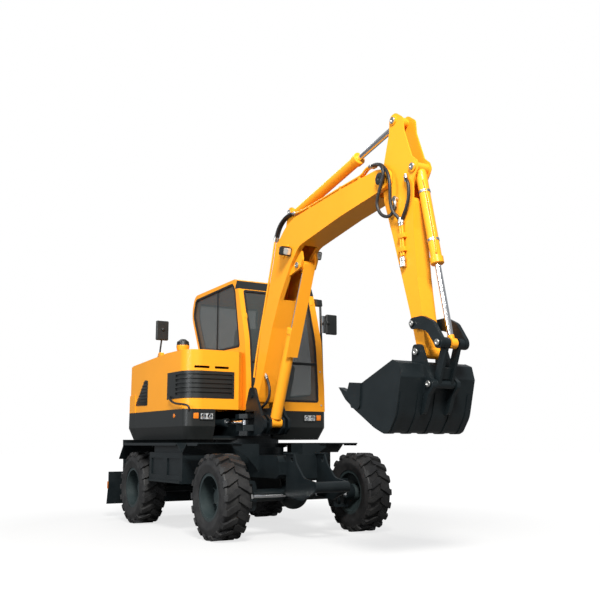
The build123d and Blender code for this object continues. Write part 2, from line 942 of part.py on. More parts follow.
def lid_volume(inset):
    """Closed form of the engine lid, its top falling towards the rear."""
    low = weight_top + swing_room - 2 * inset
    body = flat_plate(lid_plan(inset), low, lid_high - low)
    drop = outline(
        [
            (-2200, 1700 - inset),
            (-2200, 2400),
            (0, 2400),
            (0, lid_high - inset),
            (lid_front - 120, lid_high - inset),
            (lid_front - 460, lid_high - 26 - inset),
        ],
        [0, 0, 0, 0, 400, 300],
    )
    return body - side_plate(drop, 0, 4000)


def engine_lid():
    """Rear lid over the engine, hinged along its front edge behind the cab."""
    shell = lid_volume(0) - lid_volume(hood_wall)
    x, z = lid_hinge
    for y in lid_hinge_places:
        strap = outline(
            [
                (x, z - 13),
                (lid_front - 60, lid_high - 1),
                (lid_front - 60, lid_high - 9),
                (x - 20, z - 26),
            ],
        )
        shell += cross_bar(x, z, 16, y - 31, y + 31) + side_plate(strap, y, 62)
        shell -= cross_bar(x, z, 10 + pin_fit, y - 200, y + 200)
    return shell


save("guards", guards())
save("front_lamps", front_lamps())
save("hood", hood())
save("grille", grille())
save("engine_block", engine_block())
save("engine_lid", engine_lid())


# ================================================================ cab
def cab_side(inset=0.0):
    """Side view of the cab: front bowed back, roof, rear bulge over the hood."""
    i = inset
    return outline(
        [
            (front_x - 5 - i, body_low + i),
            (front_x - 18 - i, 1600),
            (265 - i, 2100),
            (90 - i, 2690),
            (30 - i, 2822 - i),
            (-1120 + i, 2788 - i),
            (-1225 + i, 2560),
            (cab_rear + i, 2060),
            (cab_rear + i, body_low + i),
        ],
        [0, 600, 700, 120, 60, 120, 300, 200, 0] if inset < 1 else [0, 600, 700, 100, 40, 80, 300, 200, 0],
    )


def side_window(inset=0.0):
    """Right-hand window, above the hood."""
    i = inset
    return outline(
        [
            (150 - i, 2005 + i),
            (10 - i, 2705),
            (-60 - i, 2780 - i),
            (-1100 + i, 2738 - i),
            (-1160 + i, 2530),
            (-935 + i, 2075 + i),
            (-850, 2005 + i),
        ],
        [30, 200, 40, 70, 200, 60, 60],
    )


def front_window(inset=0.0):
    """Front view (y, z) of the windscreen."""
    i = inset
    return outline(
        [
            (cab_right + 62 + i, 1390 + i),
            (cab_right + 62 + i, 2690 - i),
            (cab_left - 84 - i, 2690 - i),
            (cab_left - 84 - i, 1390 + i),
        ],
        40,
    )


def rear_window(inset=0.0):
    i = inset
    return outline(
        [
            (cab_right + 80 + i, 2090 + i),
            (cab_right + 80 + i, 2700 - i),
            (cab_left - 90 - i, 2700 - i),
            (cab_left - 90 - i, 2090 + i),
        ],
        40,
    )


door_rear = -590
door_gap = 5


def door_edge(inset=0.0):
    """Side view of the door's opening."""
    i = inset
    return outline(
        [
            (door_rear + i, 1345 + i),
            (door_rear + i, 2745 - i),
            (-70 - i, 2745 - i),
            (60 - i, 2300),
            (150 - i, 1900),
            (150 - i, 1345 + i),
        ],
        [30, 30, 60, 300, 200, 30],
    )


def door_window(inset=0.0):
    i = inset
    return outline(
        [
            (door_rear + 60 + i, 1480 + i),
            (door_rear + 60 + i, 2690 - i),
            (-110 - i, 2690 - i),
            (0 - i, 2290),
            (82 - i, 1890),
            (82 - i, 1480 + i),
        ],
        [40, 40, 50, 300, 200, 60],
    )


def rear_side_window(inset=0.0):
    """Left-hand window behind the door."""
    i = inset
    return outline(
        [
            (-960 + i, 2090 + i),
            (-1140 + i, 2540),
            (-1085 + i, 2712 - i),
            (door_rear - 60 - i, 2722 - i),
            (door_rear - 60 - i, 2090 + i),
        ],
        [50, 150, 60, 40, 40],
    )


def across(face, x0, x1):
    """A front view (y, z) extruded along the machine."""
    return extrude(Plane(origin=(x0, 0, 0), x_dir=(0, 1, 0), z_dir=(1, 0, 0)) * face, x1 - x0)


def cab_volume(inset=0.0):
    width = cab_left - cab_right - 2 * inset
    return side_plate(cab_side(inset), (cab_left + cab_right) / 2, width)


def cab_shell():
    """Pressed cab with its windows and door opening cut."""
    shell = cab_volume(0)
    shell -= cab_volume(cab_wall)
    shell -= side_plate(side_window(), cab_right, 2 * cab_wall + 10)
    shell -= across(front_window(), 0, 500) & block(-200, 500, -500, 1000, 1390, 2692)
    shell -= across(rear_window(), -1400, cab_rear + cab_wall + 5)
    shell -= side_plate(door_edge(), cab_left, 2 * cab_wall + 10)
    shell -= side_plate(rear_side_window(), cab_left, 2 * cab_wall + 10)
    return shell


def cab_glass():
    """Panes of the cab, set in the middle of its wall."""
    middle = cab_wall / 2
    pane_in = 0.3
    band = cab_volume(middle - glass_wall / 2) - cab_volume(middle + glass_wall / 2)
    panes = [
        side_plate(side_window(pane_in), cab_right + middle, glass_wall),
        side_plate(rear_side_window(pane_in), cab_left - middle, glass_wall),
        band & across(front_window(pane_in), 0, 500),
        band & across(rear_window(pane_in), -1400, cab_rear + cab_wall + 5),
    ]
    return Compound(children=panes)


def cab_door():
    """Door frame as thick as the cab's wall, with its hinge barrels at the rear edge."""
    middle = cab_left - cab_wall / 2
    frame = side_plate(door_edge(door_gap), middle, cab_wall) - side_plate(
        door_window(), middle, cab_wall + 10
    )
    for z in (1600, 2500):
        frame += upright_bar(door_rear - 2, cab_left + 16, 11, z - 40, z + 40)
        frame += block(door_rear - 2, door_rear + 50, cab_left + panel_seat, cab_left + 16, z - 30, z + 30)
        frame += block(door_rear + door_gap, door_rear + 50, cab_left - 1, cab_left + 16, z - 30, z + 30)
    return frame


def door_glass():
    return side_plate(door_window(0.3), cab_left - cab_wall / 2, glass_wall)


def hinge_ears():
    """The cab's half of the door hinges."""
    ears = None
    for z in (1600, 2500):
        for low in (z - 62, z + 40.5):
            ear = block(door_rear - 60, door_rear - 2, cab_left - 1, cab_left + 16, low, low + 21)
            ear += upright_bar(door_rear - 2, cab_left + 16, 11, low, low + 21)
            ears = ear if ears is None else ears + ear
    return ears


save("cab_shell", cab_shell() + hinge_ears())
save("cab_glass", cab_glass())
save("cab_door", cab_door())
save("door_glass", door_glass())


# ================================================================ inside the cab
def seat():
    cushion = outline(
        [(-560, 1617), (-560, 1760), (-110, 1780), (-80, 1700), (-110, 1640)],
        [20, 30, 40, 30, 20],
    )
    back = outline(
        [(-560, 1740), (-500, 1740), (-570, 2340), (-660, 2350), (-690, 2300)],
        [10, 10, 40, 40, 30],
    )
    base = outline([(-560, cab_floor + 0.5), (-520, 1619), (-160, 1619), (-140, cab_floor + 0.5)])
    middle = (cab_left + cab_right) / 2
    return side_plate(cushion, middle, 460) + side_plate(back, middle, 440) + side_plate(base, middle, 360)


cab_floor = body_low + cab_wall


def controls():
    """Side consoles and the steering column."""
    middle = (cab_left + cab_right) / 2
    parts = []
    console = outline(
        [
            (-640, cab_floor + 0.5),
            (-640, 1840),
            (-200, 1880),
            (-120, 1840),
            (-150, 1700),
            (-300, cab_floor + 0.5),
        ],
        [0, 30, 40, 30, 40, 0],
    )
    for side in (-1, 1):
        body = side_plate(console, middle + side * 320, 120)
        body += bar((-160, middle + side * 320, 1860), (-140, middle + side * 300, 2060), 18)
        parts.append(body)
    column = outline(
        [
            (60, cab_floor + 0.5),
            (20, 1900),
            (-20, 1960),
            (-60, 1950),
            (-50, 1880),
            (-20, cab_floor + 0.5),
        ],
    )
    post = side_plate(column, middle, 110)
    parts.append(post)
    return Compound(children=parts)


save("seat", seat())
save("controls", controls())


# ================================================================ hydraulic cylinders
def laid(shape, foot, eye, y):
    """Turn a cylinder built along +X so that it runs from its foot to its eye in the boom's plane."""
    rise = degrees(atan2(eye[1] - foot[1], eye[0] - foot[0]))
    return Pos(foot[0], y, foot[1]) * Rot(0, -rise, 0) * shape


def laid_flat(shape, foot, eye, z):
    """The same in plan, its pins upright."""
    turn = degrees(atan2(eye[1] - foot[1], eye[0] - foot[0]))
    return Pos(foot[0], foot[1], z) * Rot(0, 0, turn) * Rot(90, 0, 0) * shape


def span(foot, eye):
    return hypot(eye[0] - foot[0], eye[1] - foot[1])


def barrel(length, radius, wall, rod_radius, boss_radius, boss_width, bore_radius):
    """Barrel along +X: foot boss with its pin bore, tube with its bore, gland round the rod."""
    bore = radius - wall
    gland = 58
    tube = outline(
        [
            (boss_radius - 12, 0),
            (boss_radius - 12, radius * 0.8),
            (boss_radius + 8, radius),
            (length - gland, radius),
            (length - gland, radius + 9),
            (length - 6, radius + 9),
            (length, radius + 3),
            (length, rod_radius + pin_fit),
            (length - gland + 12, rod_radius + pin_fit),
            (length - gland + 12, bore),
            (boss_radius + 22, bore),
            (boss_radius + 22, 0),
        ]
    )
    shape = revolve(Plane.XY * tube, Axis.X)
    boss = Rot(90, 0, 0) * Cylinder(boss_radius, boss_width)
    shape += boss - Pos(boss_radius + 60, 0, 0) * Box(76, 400, 400)
    return shape - Rot(90, 0, 0) * Cylinder(bore_radius, 2 * (radius + boss_width))


def rod(length, piston_at, rod_radius, bore, boss_radius, boss_width):
    """Rod along +X, from its piston to its eye at the full length."""
    shape = Pos((piston_at + length) / 2, 0, 0) * Rot(0, 90, 0) * Cylinder(rod_radius, length - piston_at)
    shape += Pos(piston_at + 20, 0, 0) * Rot(0, 90, 0) * Cylinder(bore - pin_fit, 40)
    shape += Pos(length, 0, 0) * Rot(90, 0, 0) * Cylinder(boss_radius, boss_width)
    shape += Pos(length - boss_radius - 8, 0, 0) * Rot(0, 90, 0) * Cylinder(rod_radius + 3, 30)
    return shape


cylinders = {
    # name: (foot, eye, barrel length, radius, wall, rod radius, boss radius, foot width, eye width, piston at)
    "boom": (boom_cyl_foot, boom_cyl_eye, 1020, 58, 10, 30, 50, 124, 130, 640),
    "arm": (arm_cyl_foot, arm_eye, 1160, 52, 9, 27, 46, 112, 80, 640),
    "bucket": (bucket_cyl_foot, link_pin, 880, 46, 8, 24, 42, 98, 60, 560),
    "blade": (blade_cyl_foot, blade_cyl_eye, 400, 42, 8, 22, 36, 90, 60, 130),
    "swing": (swing_cyl_foot, swing_cyl_eye, 520, 40, 8, 21, 34, 48, 48, 250),
}


def cylinder_pair(name):
    """Barrel and rod of one cylinder, in place."""
    foot, eye, length, radius, wall, rod_radius, boss_radius, foot_width, eye_width, piston_at = cylinders[
        name
    ]
    full = span(foot, eye)
    outer = barrel(length, radius, wall, rod_radius, boss_radius, foot_width, cylinder_pin + pin_fit)
    inner = rod(full, piston_at, rod_radius, radius - wall, boss_radius, eye_width)
    if name == "boom":
        inner += rod_guard(full)
    if name == "swing":
        return laid_flat(outer, foot, eye, swing_cyl_height), laid_flat(inner, foot, eye, swing_cyl_height)
    y = 0 if name == "blade" else boom_y
    return laid(outer, foot, eye, y), laid(inner, foot, eye, y)


def rod_guard(full):
    """Flat plate in front of the boom cylinder's rod, carried at the rod's eye."""
    sheet = outline([(full - 940, -74), (full + 34, -74), (full + 34, -82), (full - 940, -82)])
    ear = outline([(full - 40, -20), (full - 70, -75), (full + 34, -75), (full + 20, -20)])
    return side_plate(sheet, 0, 132) + side_plate(ear, 0, 90)


for name in cylinders:
    outer, inner = cylinder_pair(name)
    save(name + "_barrel", outer)
    save(name + "_rod", inner)


# ================================================================ swing post
ear_inner = boom_width / 2 + 2
ear_plate = 30


def swing_post():
    """Casting that turns between the bracket's lugs and carries the boom and its cylinder between two ears."""
    low, high = post_lugs[0][1] + face_gap, post_lugs[1][0] - face_gap
    post = upright_bar(post_axis_x, boom_y, 84, low, high)
    post += upright_bar(post_axis_x, boom_y, post_pin_radius, post_lugs[0][0], 1262)
    neck = block(post_axis_x, 770, boom_y - 76, boom_y + 76, low, high)
    post += neck
    post += block(752, 792, boom_y - ear_inner - ear_plate, boom_y + ear_inner + ear_plate, low - 40, 1290)
    post += block(560, 760, boom_y - ear_inner - 2, boom_y + ear_inner + 2, 1258, 1290)
    side = outline(
        [
            (600, 1425),
            (640, 1512),
            (740, 1512),
            (790, 1400),
            (900, 1215),
            (975, 1170),
            (975, 1080),
            (900, 1020),
            (752, 1012),
            (752, 1258),
            (560, 1258),
            (560, 1330),
        ],
        [20, 60, 60, 80, 60, 40, 50, 50, 20, 10, 10, 20],
    )
    for way in (-1, 1):
        post += side_plate(side, boom_y + way * (ear_inner + ear_plate / 2), ear_plate)
        cheek = outline(
            [(792, 1030), (792, 1230), (900, 1215), (975, 1170), (975, 1080), (900, 1020)],
            [0, 0, 40, 30, 40, 40],
        )
        post += side_plate(cheek, boom_y + way * 78, 28)
    post += cross_bar(
        *foot_pin, pin_radius, boom_y - ear_inner - ear_plate - 12, boom_y + ear_inner + ear_plate + 12
    )
    post += cross_bar(*boom_cyl_foot, cylinder_pin, boom_y - 100, boom_y + 100)
    lever = outline(
        [
            (post_axis_x - 60, boom_y - 40),
            (swing_cyl_eye[0] - 34, swing_cyl_eye[1]),
            (swing_cyl_eye[0] - 20, swing_cyl_eye[1] - 34),
            (swing_cyl_eye[0] + 20, swing_cyl_eye[1] - 34),
            (swing_cyl_eye[0] + 34, swing_cyl_eye[1]),
            (post_axis_x + 60, boom_y - 40),
        ],
        [0, 10, 20, 20, 10, 0],
    )
    post += flat_plate(lever, low, swing_cyl_height - 24 - face_gap - low)
    return post


# ================================================================ boom
boom_path = [
    (610, 1400),
    (700, 1560),
    (838, 2135),
    (955, 2420),
    (1150, 2975),
    (1330, 3120),
    (1500, 3190),
    (2340, 3262),
    (2900, 3290),
    (3075, 3255),
    (3075, 3110),
    (2960, 3085),
    (2338, 3005),
    (1600, 2875),
    (1430, 2700),
    (1210, 2384),
    (1068, 2108),
    (835, 1538),
    (770, 1400),
    (740, 1345),
    (640, 1345),
]
boom_rounds = [
    30, 100, 60, 200, 260, 200, 200, 400, 120, 70, 70, 80, 400, 220, 300, 200, 200, 100, 60, 40, 40
]
fork_room = 5           # between the arm's sides and the fork
fork_mouth = [(2840, 3000), (2840, 3130), (2700, 3330), (2700, 3400), (3200, 3400), (3200, 3000)]
fork_end = [(2840, 3000), (2840, 3130), (2700, 3330), (2680, 3330), (2822, 3126), (2822, 3000)]
fork_cheek = [(2700, 3095), (2960, 3115), (2960, 3250), (2700, 3262)]
belly_window = [
    (1250, 2360), (1170, 2410), (1390, 2760), (1560, 2910), (1640, 2925), (1640, 2800), (1480, 2700)
]
belly_ear = [(1330, 2610), (1600, 2830), (1620, 2740), (1575, 2660), (1500, 2640), (1400, 2620)]
belly_ear_plate = 22
ear_gap = 73            # inner face of the boom cylinder's ears, from the boom's plane


def boom():
    """Welded box boom, its side plates narrowing at the foot, a forked tip, ears for both cylinders."""
    side = outline(boom_path, boom_rounds)
    beam = side_plate(side, boom_y, boom_width)
    beam -= side_plate(offset(side, -boom_wall), boom_y, boom_width - 2 * boom_wall)
    beam += cross_bar(*foot_pin, 62, boom_y - boom_width / 2, boom_y + boom_width / 2)
    inside = boom_width - 2 * boom_wall
    beam += side_plate(offset(side, -1) & outline(fork_end), boom_y, inside + 4)
    beam -= side_plate(outline(fork_mouth), boom_y, arm_width + 2 * fork_room)
    beam -= side_plate(outline(belly_window), boom_y, 2 * ear_gap)
    for way in (-1, 1):
        cheek = offset(side, -1) & outline(fork_cheek)
        beam += side_plate(cheek, boom_y + way * (arm_width / 2 + fork_room + 18), 36)
        beam += cross_bar(
            *tip_pin, 60, boom_y + way * (arm_width / 2 + fork_room), boom_y + way * boom_width / 2
        )
        under = outline(belly_ear, [0, 0, 30, 40, 40, 20])
        beam += side_plate(under, boom_y + way * (ear_gap + belly_ear_plate / 2), belly_ear_plate)
        top = outline(
            [(1250, 3060), (1310, 3290), (1330, 3340), (1390, 3340), (1420, 3290), (1500, 3180)],
            [0, 20, 30, 30, 20, 0],
        )
        beam += side_plate(top, boom_y + way * 70, 22)
        beam += cross_bar(
            *boom_cyl_eye, 30, boom_y + way * ear_gap, boom_y + way * (ear_gap + belly_ear_plate + 7)
        )
    beam -= cross_bar(*foot_pin, pin_radius + pin_fit, boom_y - 300, boom_y + 300)
    beam += cross_bar(*arm_cyl_foot, cylinder_pin, boom_y - 92, boom_y + 92)
    beam += cross_bar(*tip_pin, pin_radius, boom_y - boom_width / 2 - 14, boom_y + boom_width / 2 + 14)
    return beam


# ================================================================ arm
arm_path = [
    (3040, 3690),
    (3060, 3745),
    (3130, 3752),
    (3225, 3680),
    (3234, 3560),
    (3330, 3300),
    (3402, 3240),
    (3402, 3160),
    (3345, 3080),
    (3336, 2671),
    (3368, 2253),
    (3446, 1680),
    (3440, 1590),
    (3370, 1590),
    (3340, 1680),
    (3262, 1986),
    (3062, 2647),
    (2950, 2990),
    (2938, 3100),
    (2938, 3290),
    (3036, 3600),
]
arm_rounds = [30, 50, 60, 50, 60, 60, 44, 44, 60, 200, 300, 60, 40, 40, 60, 300, 300, 120, 60, 60, 60]


def arm():
    """Box arm: two side plates open in front above the bucket cylinder's ears, closed box below."""
    side = outline(arm_path, arm_rounds)
    beam = side_plate(side, boom_y, arm_width)
    wall = 12
    beam -= side_plate(offset(side, -wall), boom_y, arm_width - 2 * wall)
    mouth = outline(
        [
            (2960, 3420),
            (2960, 3900),
            (3400, 3900),
            (3450, 3330),
            (3450, 2840),
            (3365, 2840),
            (3290, 3050),
            (3200, 3420),
        ],
    )
    beam -= side_plate(mouth, boom_y, arm_width - 2 * wall)
    beam += cross_bar(*tip_pin, 58, boom_y - arm_width / 2, boom_y + arm_width / 2)
    beam += cross_bar(*bucket_pin, 50, boom_y - arm_width / 2, boom_y + arm_width / 2)
    beam += cross_bar(*guide_pin, 44, boom_y - arm_width / 2, boom_y + arm_width / 2)
    for way in (-1, 1):
        beam += cross_bar(*bucket_cyl_foot, 46, boom_y + way * 50, boom_y + way * (arm_width / 2 + 14))
        beam += cross_bar(*arm_eye, 40, boom_y + way * 46, boom_y + way * (arm_width / 2 + 10))
    beam -= cross_bar(*tip_pin, pin_radius + pin_fit, boom_y - 200, boom_y + 200)
    beam -= cross_bar(*bucket_pin, pin_radius + pin_fit, boom_y - 200, boom_y + 200)
    beam -= cross_bar(*guide_pin, 24 + pin_fit, boom_y - 200, boom_y + 200)
    beam += cross_bar(*bucket_cyl_foot, 24, boom_y - 60, boom_y + 60)
    return beam


# ================================================================ bucket linkage
link_inner = 104        # inner face of guide links and bucket ears, from the boom's plane
link_plate = 36


def guide_link():
    """Pair of bowed links between arm and bucket link, with the pins they carry."""
    gx, gz = guide_pin
    ax, az = link_pin
    bow = outline(
        [
            (gx - 46, gz),
            (gx - 20, gz + 46),
            (gx + 120, gz + 50),
            (gx + 245, gz - 10),
            (ax + 46, az + 20),
            (ax + 40, az - 40),
            (ax - 30, az - 46),
            (ax - 60, az + 10),
            (gx + 170, gz - 80),
            (gx + 60, gz - 46),
            (gx - 20, gz - 46),
        ],
        [30, 40, 100, 100, 60, 40, 40, 80, 120, 80, 40],
    )
    pair = None
    for way in (-1, 1):
        one = side_plate(bow, boom_y + way * (link_inner + link_plate / 2), link_plate)
        one += cross_bar(gx, gz, 40, boom_y + way * (arm_width / 2 + 1), boom_y + way * (link_inner + 2))
        one += cross_bar(ax, az, 25, boom_y + way * 44, boom_y + way * (link_inner + link_plate + 10))
        pair = one if pair is None else pair + one
    return pair + cross_bar(
        gx, gz, 24, boom_y - link_inner - link_plate - 10, boom_y + link_inner + link_plate + 10
    )


def bucket_link():
    """Two plates from the link pin down to a cross tube between the bucket's ears."""
    ax, az = link_pin
    cx, cz = bucket_link_pin
    tube = cross_bar(cx, cz, 36, boom_y - link_inner + 5, boom_y + link_inner - 5)
    link = tube
    along = Vector(cx - ax, 0, cz - az).normalized()
    side = Vector(-along.Z, 0, along.X) * 34
    for way in (-1, 1):
        blade_face = outline(
            [
                (ax + side.X, az + side.Z),
                (cx + side.X, cz + side.Z),
                (cx - side.X, cz - side.Z),
                (ax - side.X, az - side.Z),
            ]
        )
        link += side_plate(blade_face, boom_y + way * 62, 24)
        link += cross_bar(ax, az, 44, boom_y + way * 45, boom_y + way * (link_inner - 3))
    web = Vector(cx, 0, cz) - along * 90
    link += Pos(web.X, boom_y, web.Z) * Rot(0, degrees(atan2(along.X, along.Z)), 0) * Box(22, 110, 90)
    return link - cross_bar(ax, az, 25 + pin_fit, boom_y - 200, boom_y + 200)


# ================================================================ bucket
bucket_path = [
    (3409, 1563),
    (2905, 1372),
    (2868, 1212),
    (3158, 1046),
    (3263, 1004),
    (3345, 1004),
    (3435, 1130),
    (3510, 1427),
    (3480, 1536),
]
bucket_rounds = [0, 0, 0, 200, 60, 60, 200, 20, 10]
bucket_wall = 12
tooth_count = 5


def bucket():
    """Open bucket with ears, lip, teeth, side cutters and wear strips."""
    side = outline(bucket_path, bucket_rounds)
    shell = side_plate(side, boom_y, bucket_width)
    inner = offset(side, -bucket_wall)
    mouth = outline([(3425, 1540), (2880, 1345), (2700, 1600), (3300, 1800)])
    shell -= side_plate(inner, boom_y, bucket_width - 2 * bucket_wall)
    shell -= side_plate(mouth, boom_y, bucket_width - 2 * bucket_wall)
    for index in range(tooth_count):
        y = boom_y + (index - (tooth_count - 1) / 2) * (bucket_width - 70) / (tooth_count - 1)
        tooth = outline(
            [(2920, 1205), (2868, 1212), (2760, 1285), (2662, 1392), (2780, 1352), (2890, 1290)]
        )
        shell += side_plate(tooth, y, 64)
    for way in (-1, 1):
        cutter = outline(
            [(3000, 1408), (2842, 1422), (2800, 1330), (2868, 1212), (2980, 1190)],
            [0, 10, 20, 0, 40],
        )
        shell += side_plate(cutter, boom_y + way * (bucket_width / 2 + 7), 14)
        ear = outline(
            [
                (3350, 1530),
                (3352, 1637),
                (3372, 1697),
                (3452, 1697),
                (3476, 1637),
                (3520, 1520),
                (3560, 1430),
                (3604, 1395),
                (3604, 1350),
                (3540, 1290),
                (3480, 1150),
                (3440, 1140),
                (3500, 1420),
                (3470, 1510),
            ],
            [10, 40, 30, 30, 60, 100, 60, 20, 30, 60, 40, 0, 0, 0],
        )
        shell += side_plate(ear, boom_y + way * (link_inner + link_plate / 2), link_plate)
    strips = offset(side, 7) - side
    strips &= Pos(3230, 1100) * Rectangle(700, 420)
    for index in range(5):
        y = boom_y + (index - 2) * 170
        shell += side_plate(strips, y, 44)
    shell += cross_bar(
        *bucket_pin, pin_radius, boom_y - link_inner - link_plate - 10, boom_y + link_inner + link_plate + 10
    )
    for way in (-1, 1):
        shell += cross_bar(
            *bucket_link_pin, 25, boom_y + way * (link_inner - 1), boom_y + way * (
                link_inner + link_plate + 10
            )
        )
    return shell


save("swing_post", swing_post())
save("boom", boom())
save("arm", arm())
save("guide_link", guide_link())
save("bucket_link", bucket_link())
save("bucket", bucket())


# ================================================================ blade
def blade():
    """Curved dozer blade on two arms, with the clevis for its cylinder behind it."""
    face = outline(
        [
            (blade_x - 20, blade_low),
            (blade_x + 20, 420),
            (blade_x + 5, 700),
            (blade_x - 30, blade_top),
            (blade_x - 44, blade_top),
            (blade_x - 10, 700),
            (blade_x + 4, 420),
            (blade_x - 40, blade_low),
        ],
        [0, 300, 300, 0, 0, 300, 300, 0],
    )
    plate = side_plate(face, 0, 2 * blade_half_width)
    for way in (-1, 1):
        plate -= block(blade_x - 200, blade_x + 200, way * (blade_half_width - 190), way * 2000, 570, 1200)
        arm_side = outline(
            [
                (blade_pivot[0] + 42, blade_pivot[1] - 20),
                (blade_pivot[0] + 42, blade_pivot[1] + 20),
                (blade_pivot[0] - 10, blade_pivot[1] + 44),
                (blade_x + 10, 520),
                (blade_x + 8, 330),
                (blade_x + 120, 320),
                (blade_pivot[0] - 30, blade_pivot[1] - 44),
            ],
            [20, 20, 30, 0, 0, 60, 40],
        )
        plate += side_plate(arm_side, way * blade_arm_y, blade_arm_width)
        rib = outline([(blade_x + 8, 300), (blade_x + 60, 330), (blade_x + 60, 560), (blade_x, 800)])
        plate += side_plate(rib, way * blade_arm_y, 16)
        clevis = outline(
            [
                (blade_x + 8, 400),
                (blade_cyl_eye[0] + 20, 440),
                (blade_cyl_eye[0] + 40, 480),
                (blade_cyl_eye[0] + 20, 520),
                (blade_x, 600),
            ],
            [0, 20, 30, 20, 0],
        )
        plate += side_plate(clevis, way * 48, 20)
    plate += block(blade_x + 60, blade_x + 160, -blade_arm_y, blade_arm_y, 340, 400)
    for way in (-1, 1):
        plate -= cross_bar(*blade_pivot, pin_radius + pin_fit, way * 200, way * 500)
    return plate


save("blade", blade())


# ================================================================ fittings on cab and hood
def tube_path(points, radius):
    """A bent tube: straight runs with a ball at each bend."""
    tube = bar(points[0], points[1], radius)
    for start, end in zip(points[1:-1], points[2:]):
        tube += Pos(*start) * Sphere(radius) + bar(start, end, radius)
    return tube


def rail_and_mirrors():
    """Grab rail beside the door with the left mirror on it, and the right mirror on its stalk."""
    rail_y = cab_left + 63
    rail = tube_path(
        [
            (190, cab_left, 1550),
            (190, rail_y, 1550),
            (142, rail_y, 2610),
            (80, rail_y, 2655),
            (80, cab_left, 2655),
        ], 14
    )
    rail += tube_path([(156, rail_y, 2300), (285, rail_y + 50, 2320)], 9)
    head = block(275, 318, rail_y - 20, rail_y + 130, 2210, 2450)
    head = fillet(head.edges(), 14)
    stalk = tube_path([(-570, -850, 1917), (-570, -850, 1990), (-530, -850, 2130)], 10)
    stalk += Pos(-570, -850, 1915) * Cylinder(28, 24)
    stalk -= hood_volume()
    right = fillet(block(-545, -502, -925, -775, 2110, 2340).edges(), 14)
    return Compound(children=[rail + head, stalk + right])


def pre_cleaner():
    """Round air intake cap on its stem."""
    section = outline(
        [(0, 1890), (34, 1890), (34, 2010), (70, 2016), (78, 2060), (70, 2120), (30, 2150), (0, 2152)]
    )
    return Pos(-600, -550, 0) * revolve(Plane.XZ * section, Axis.Z) - hood_volume()


save("rail_mirrors", rail_and_mirrors())
save("pre_cleaner", pre_cleaner())
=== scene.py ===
import bpy
import bmesh
import json
from math import cos, hypot, pi, radians, sin
from mathutils import Matrix, Vector


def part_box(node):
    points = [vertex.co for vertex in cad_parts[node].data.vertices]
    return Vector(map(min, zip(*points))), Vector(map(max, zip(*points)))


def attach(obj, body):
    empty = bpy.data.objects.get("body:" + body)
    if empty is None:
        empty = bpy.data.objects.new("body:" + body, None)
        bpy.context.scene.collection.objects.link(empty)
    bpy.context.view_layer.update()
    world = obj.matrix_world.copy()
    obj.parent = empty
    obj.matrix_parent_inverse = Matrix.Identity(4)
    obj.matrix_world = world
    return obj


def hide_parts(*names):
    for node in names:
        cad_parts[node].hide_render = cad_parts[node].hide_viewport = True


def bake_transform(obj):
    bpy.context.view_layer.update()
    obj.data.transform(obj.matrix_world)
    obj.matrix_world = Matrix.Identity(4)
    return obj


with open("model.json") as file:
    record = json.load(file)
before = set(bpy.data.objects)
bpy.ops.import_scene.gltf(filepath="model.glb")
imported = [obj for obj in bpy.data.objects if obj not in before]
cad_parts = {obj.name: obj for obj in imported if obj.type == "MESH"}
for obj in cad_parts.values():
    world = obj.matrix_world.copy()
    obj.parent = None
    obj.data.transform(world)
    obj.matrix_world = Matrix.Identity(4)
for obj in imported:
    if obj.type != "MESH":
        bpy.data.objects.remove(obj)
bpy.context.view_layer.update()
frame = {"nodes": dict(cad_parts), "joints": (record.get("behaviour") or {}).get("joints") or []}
nodes = frame["nodes"]
pivot = {joint["name"]: Vector(joint["pos_m"]) for joint in frame["joints"] if joint.get("pos_m")}


# ---------------------------------------------------------------- camera
# A long lens stands low in front of the machine's right-hand corner and looks
# slightly up, so that boom and arm rise against the plain background.
eye = Vector((8.427, -4.437, 0.924))
look_azimuth = radians(58.52)
look_up = radians(9.935)
lens_mm = 49.1
gaze = Vector((-sin(look_azimuth) * cos(look_up), cos(look_azimuth) * cos(look_up), sin(look_up)))
camera_data = bpy.data.cameras.new("camera")
camera_data.lens = lens_mm
camera_data.sensor_width = 36.0
camera = bpy.data.objects.new("camera", camera_data)
camera.location = eye
camera.rotation_euler = gaze.to_track_quat("-Z", "Y").to_euler()
bpy.context.scene.collection.objects.link(camera)
bpy.context.scene.camera = camera


# ---------------------------------------------------------------- studio
# A pale floor that runs out into a pale background, one broad lamp over the
# machine's front right, a weaker one opposite, and an even sky.
bpy.context.scene.view_settings.view_transform = "Standard"


def pale_to_camera(tree, lit, seen, output):
    """The lit shader for light that falls on the object, the seen one for the camera and through glass."""
    path = tree.nodes.new("ShaderNodeLightPath")
    either = tree.nodes.new("ShaderNodeMath")
    either.operation = "MAXIMUM"
    tree.links.new(path.outputs["Is Camera Ray"], either.inputs[0])
    tree.links.new(path.outputs["Is Transmission Ray"], either.inputs[1])
    mix = tree.nodes.new("ShaderNodeMixShader")
    tree.links.new(either.outputs[0], mix.inputs["Fac"])
    tree.links.new(lit, mix.inputs[1])
    tree.links.new(seen, mix.inputs[2])
    tree.links.new(mix.outputs[0], output)


world = bpy.data.worlds.new("studio")
bpy.context.scene.world = world
world.use_nodes = True
sky = world.node_tree
sky.nodes.clear()
sky_out = sky.nodes.new("ShaderNodeOutputWorld")
sky_light = sky.nodes.new("ShaderNodeBackground")
sky_light.inputs["Color"].default_value = (0.93, 0.96, 1.0, 1)
sky_light.inputs["Strength"].default_value = 0.36
sky_seen = sky.nodes.new("ShaderNodeBackground")
sky_seen.inputs["Color"].default_value = (1, 1, 1, 1)
sky_seen.inputs["Strength"].default_value = 1.0
pale_to_camera(sky, sky_light.outputs[0], sky_seen.outputs[0], sky_out.inputs["Surface"])

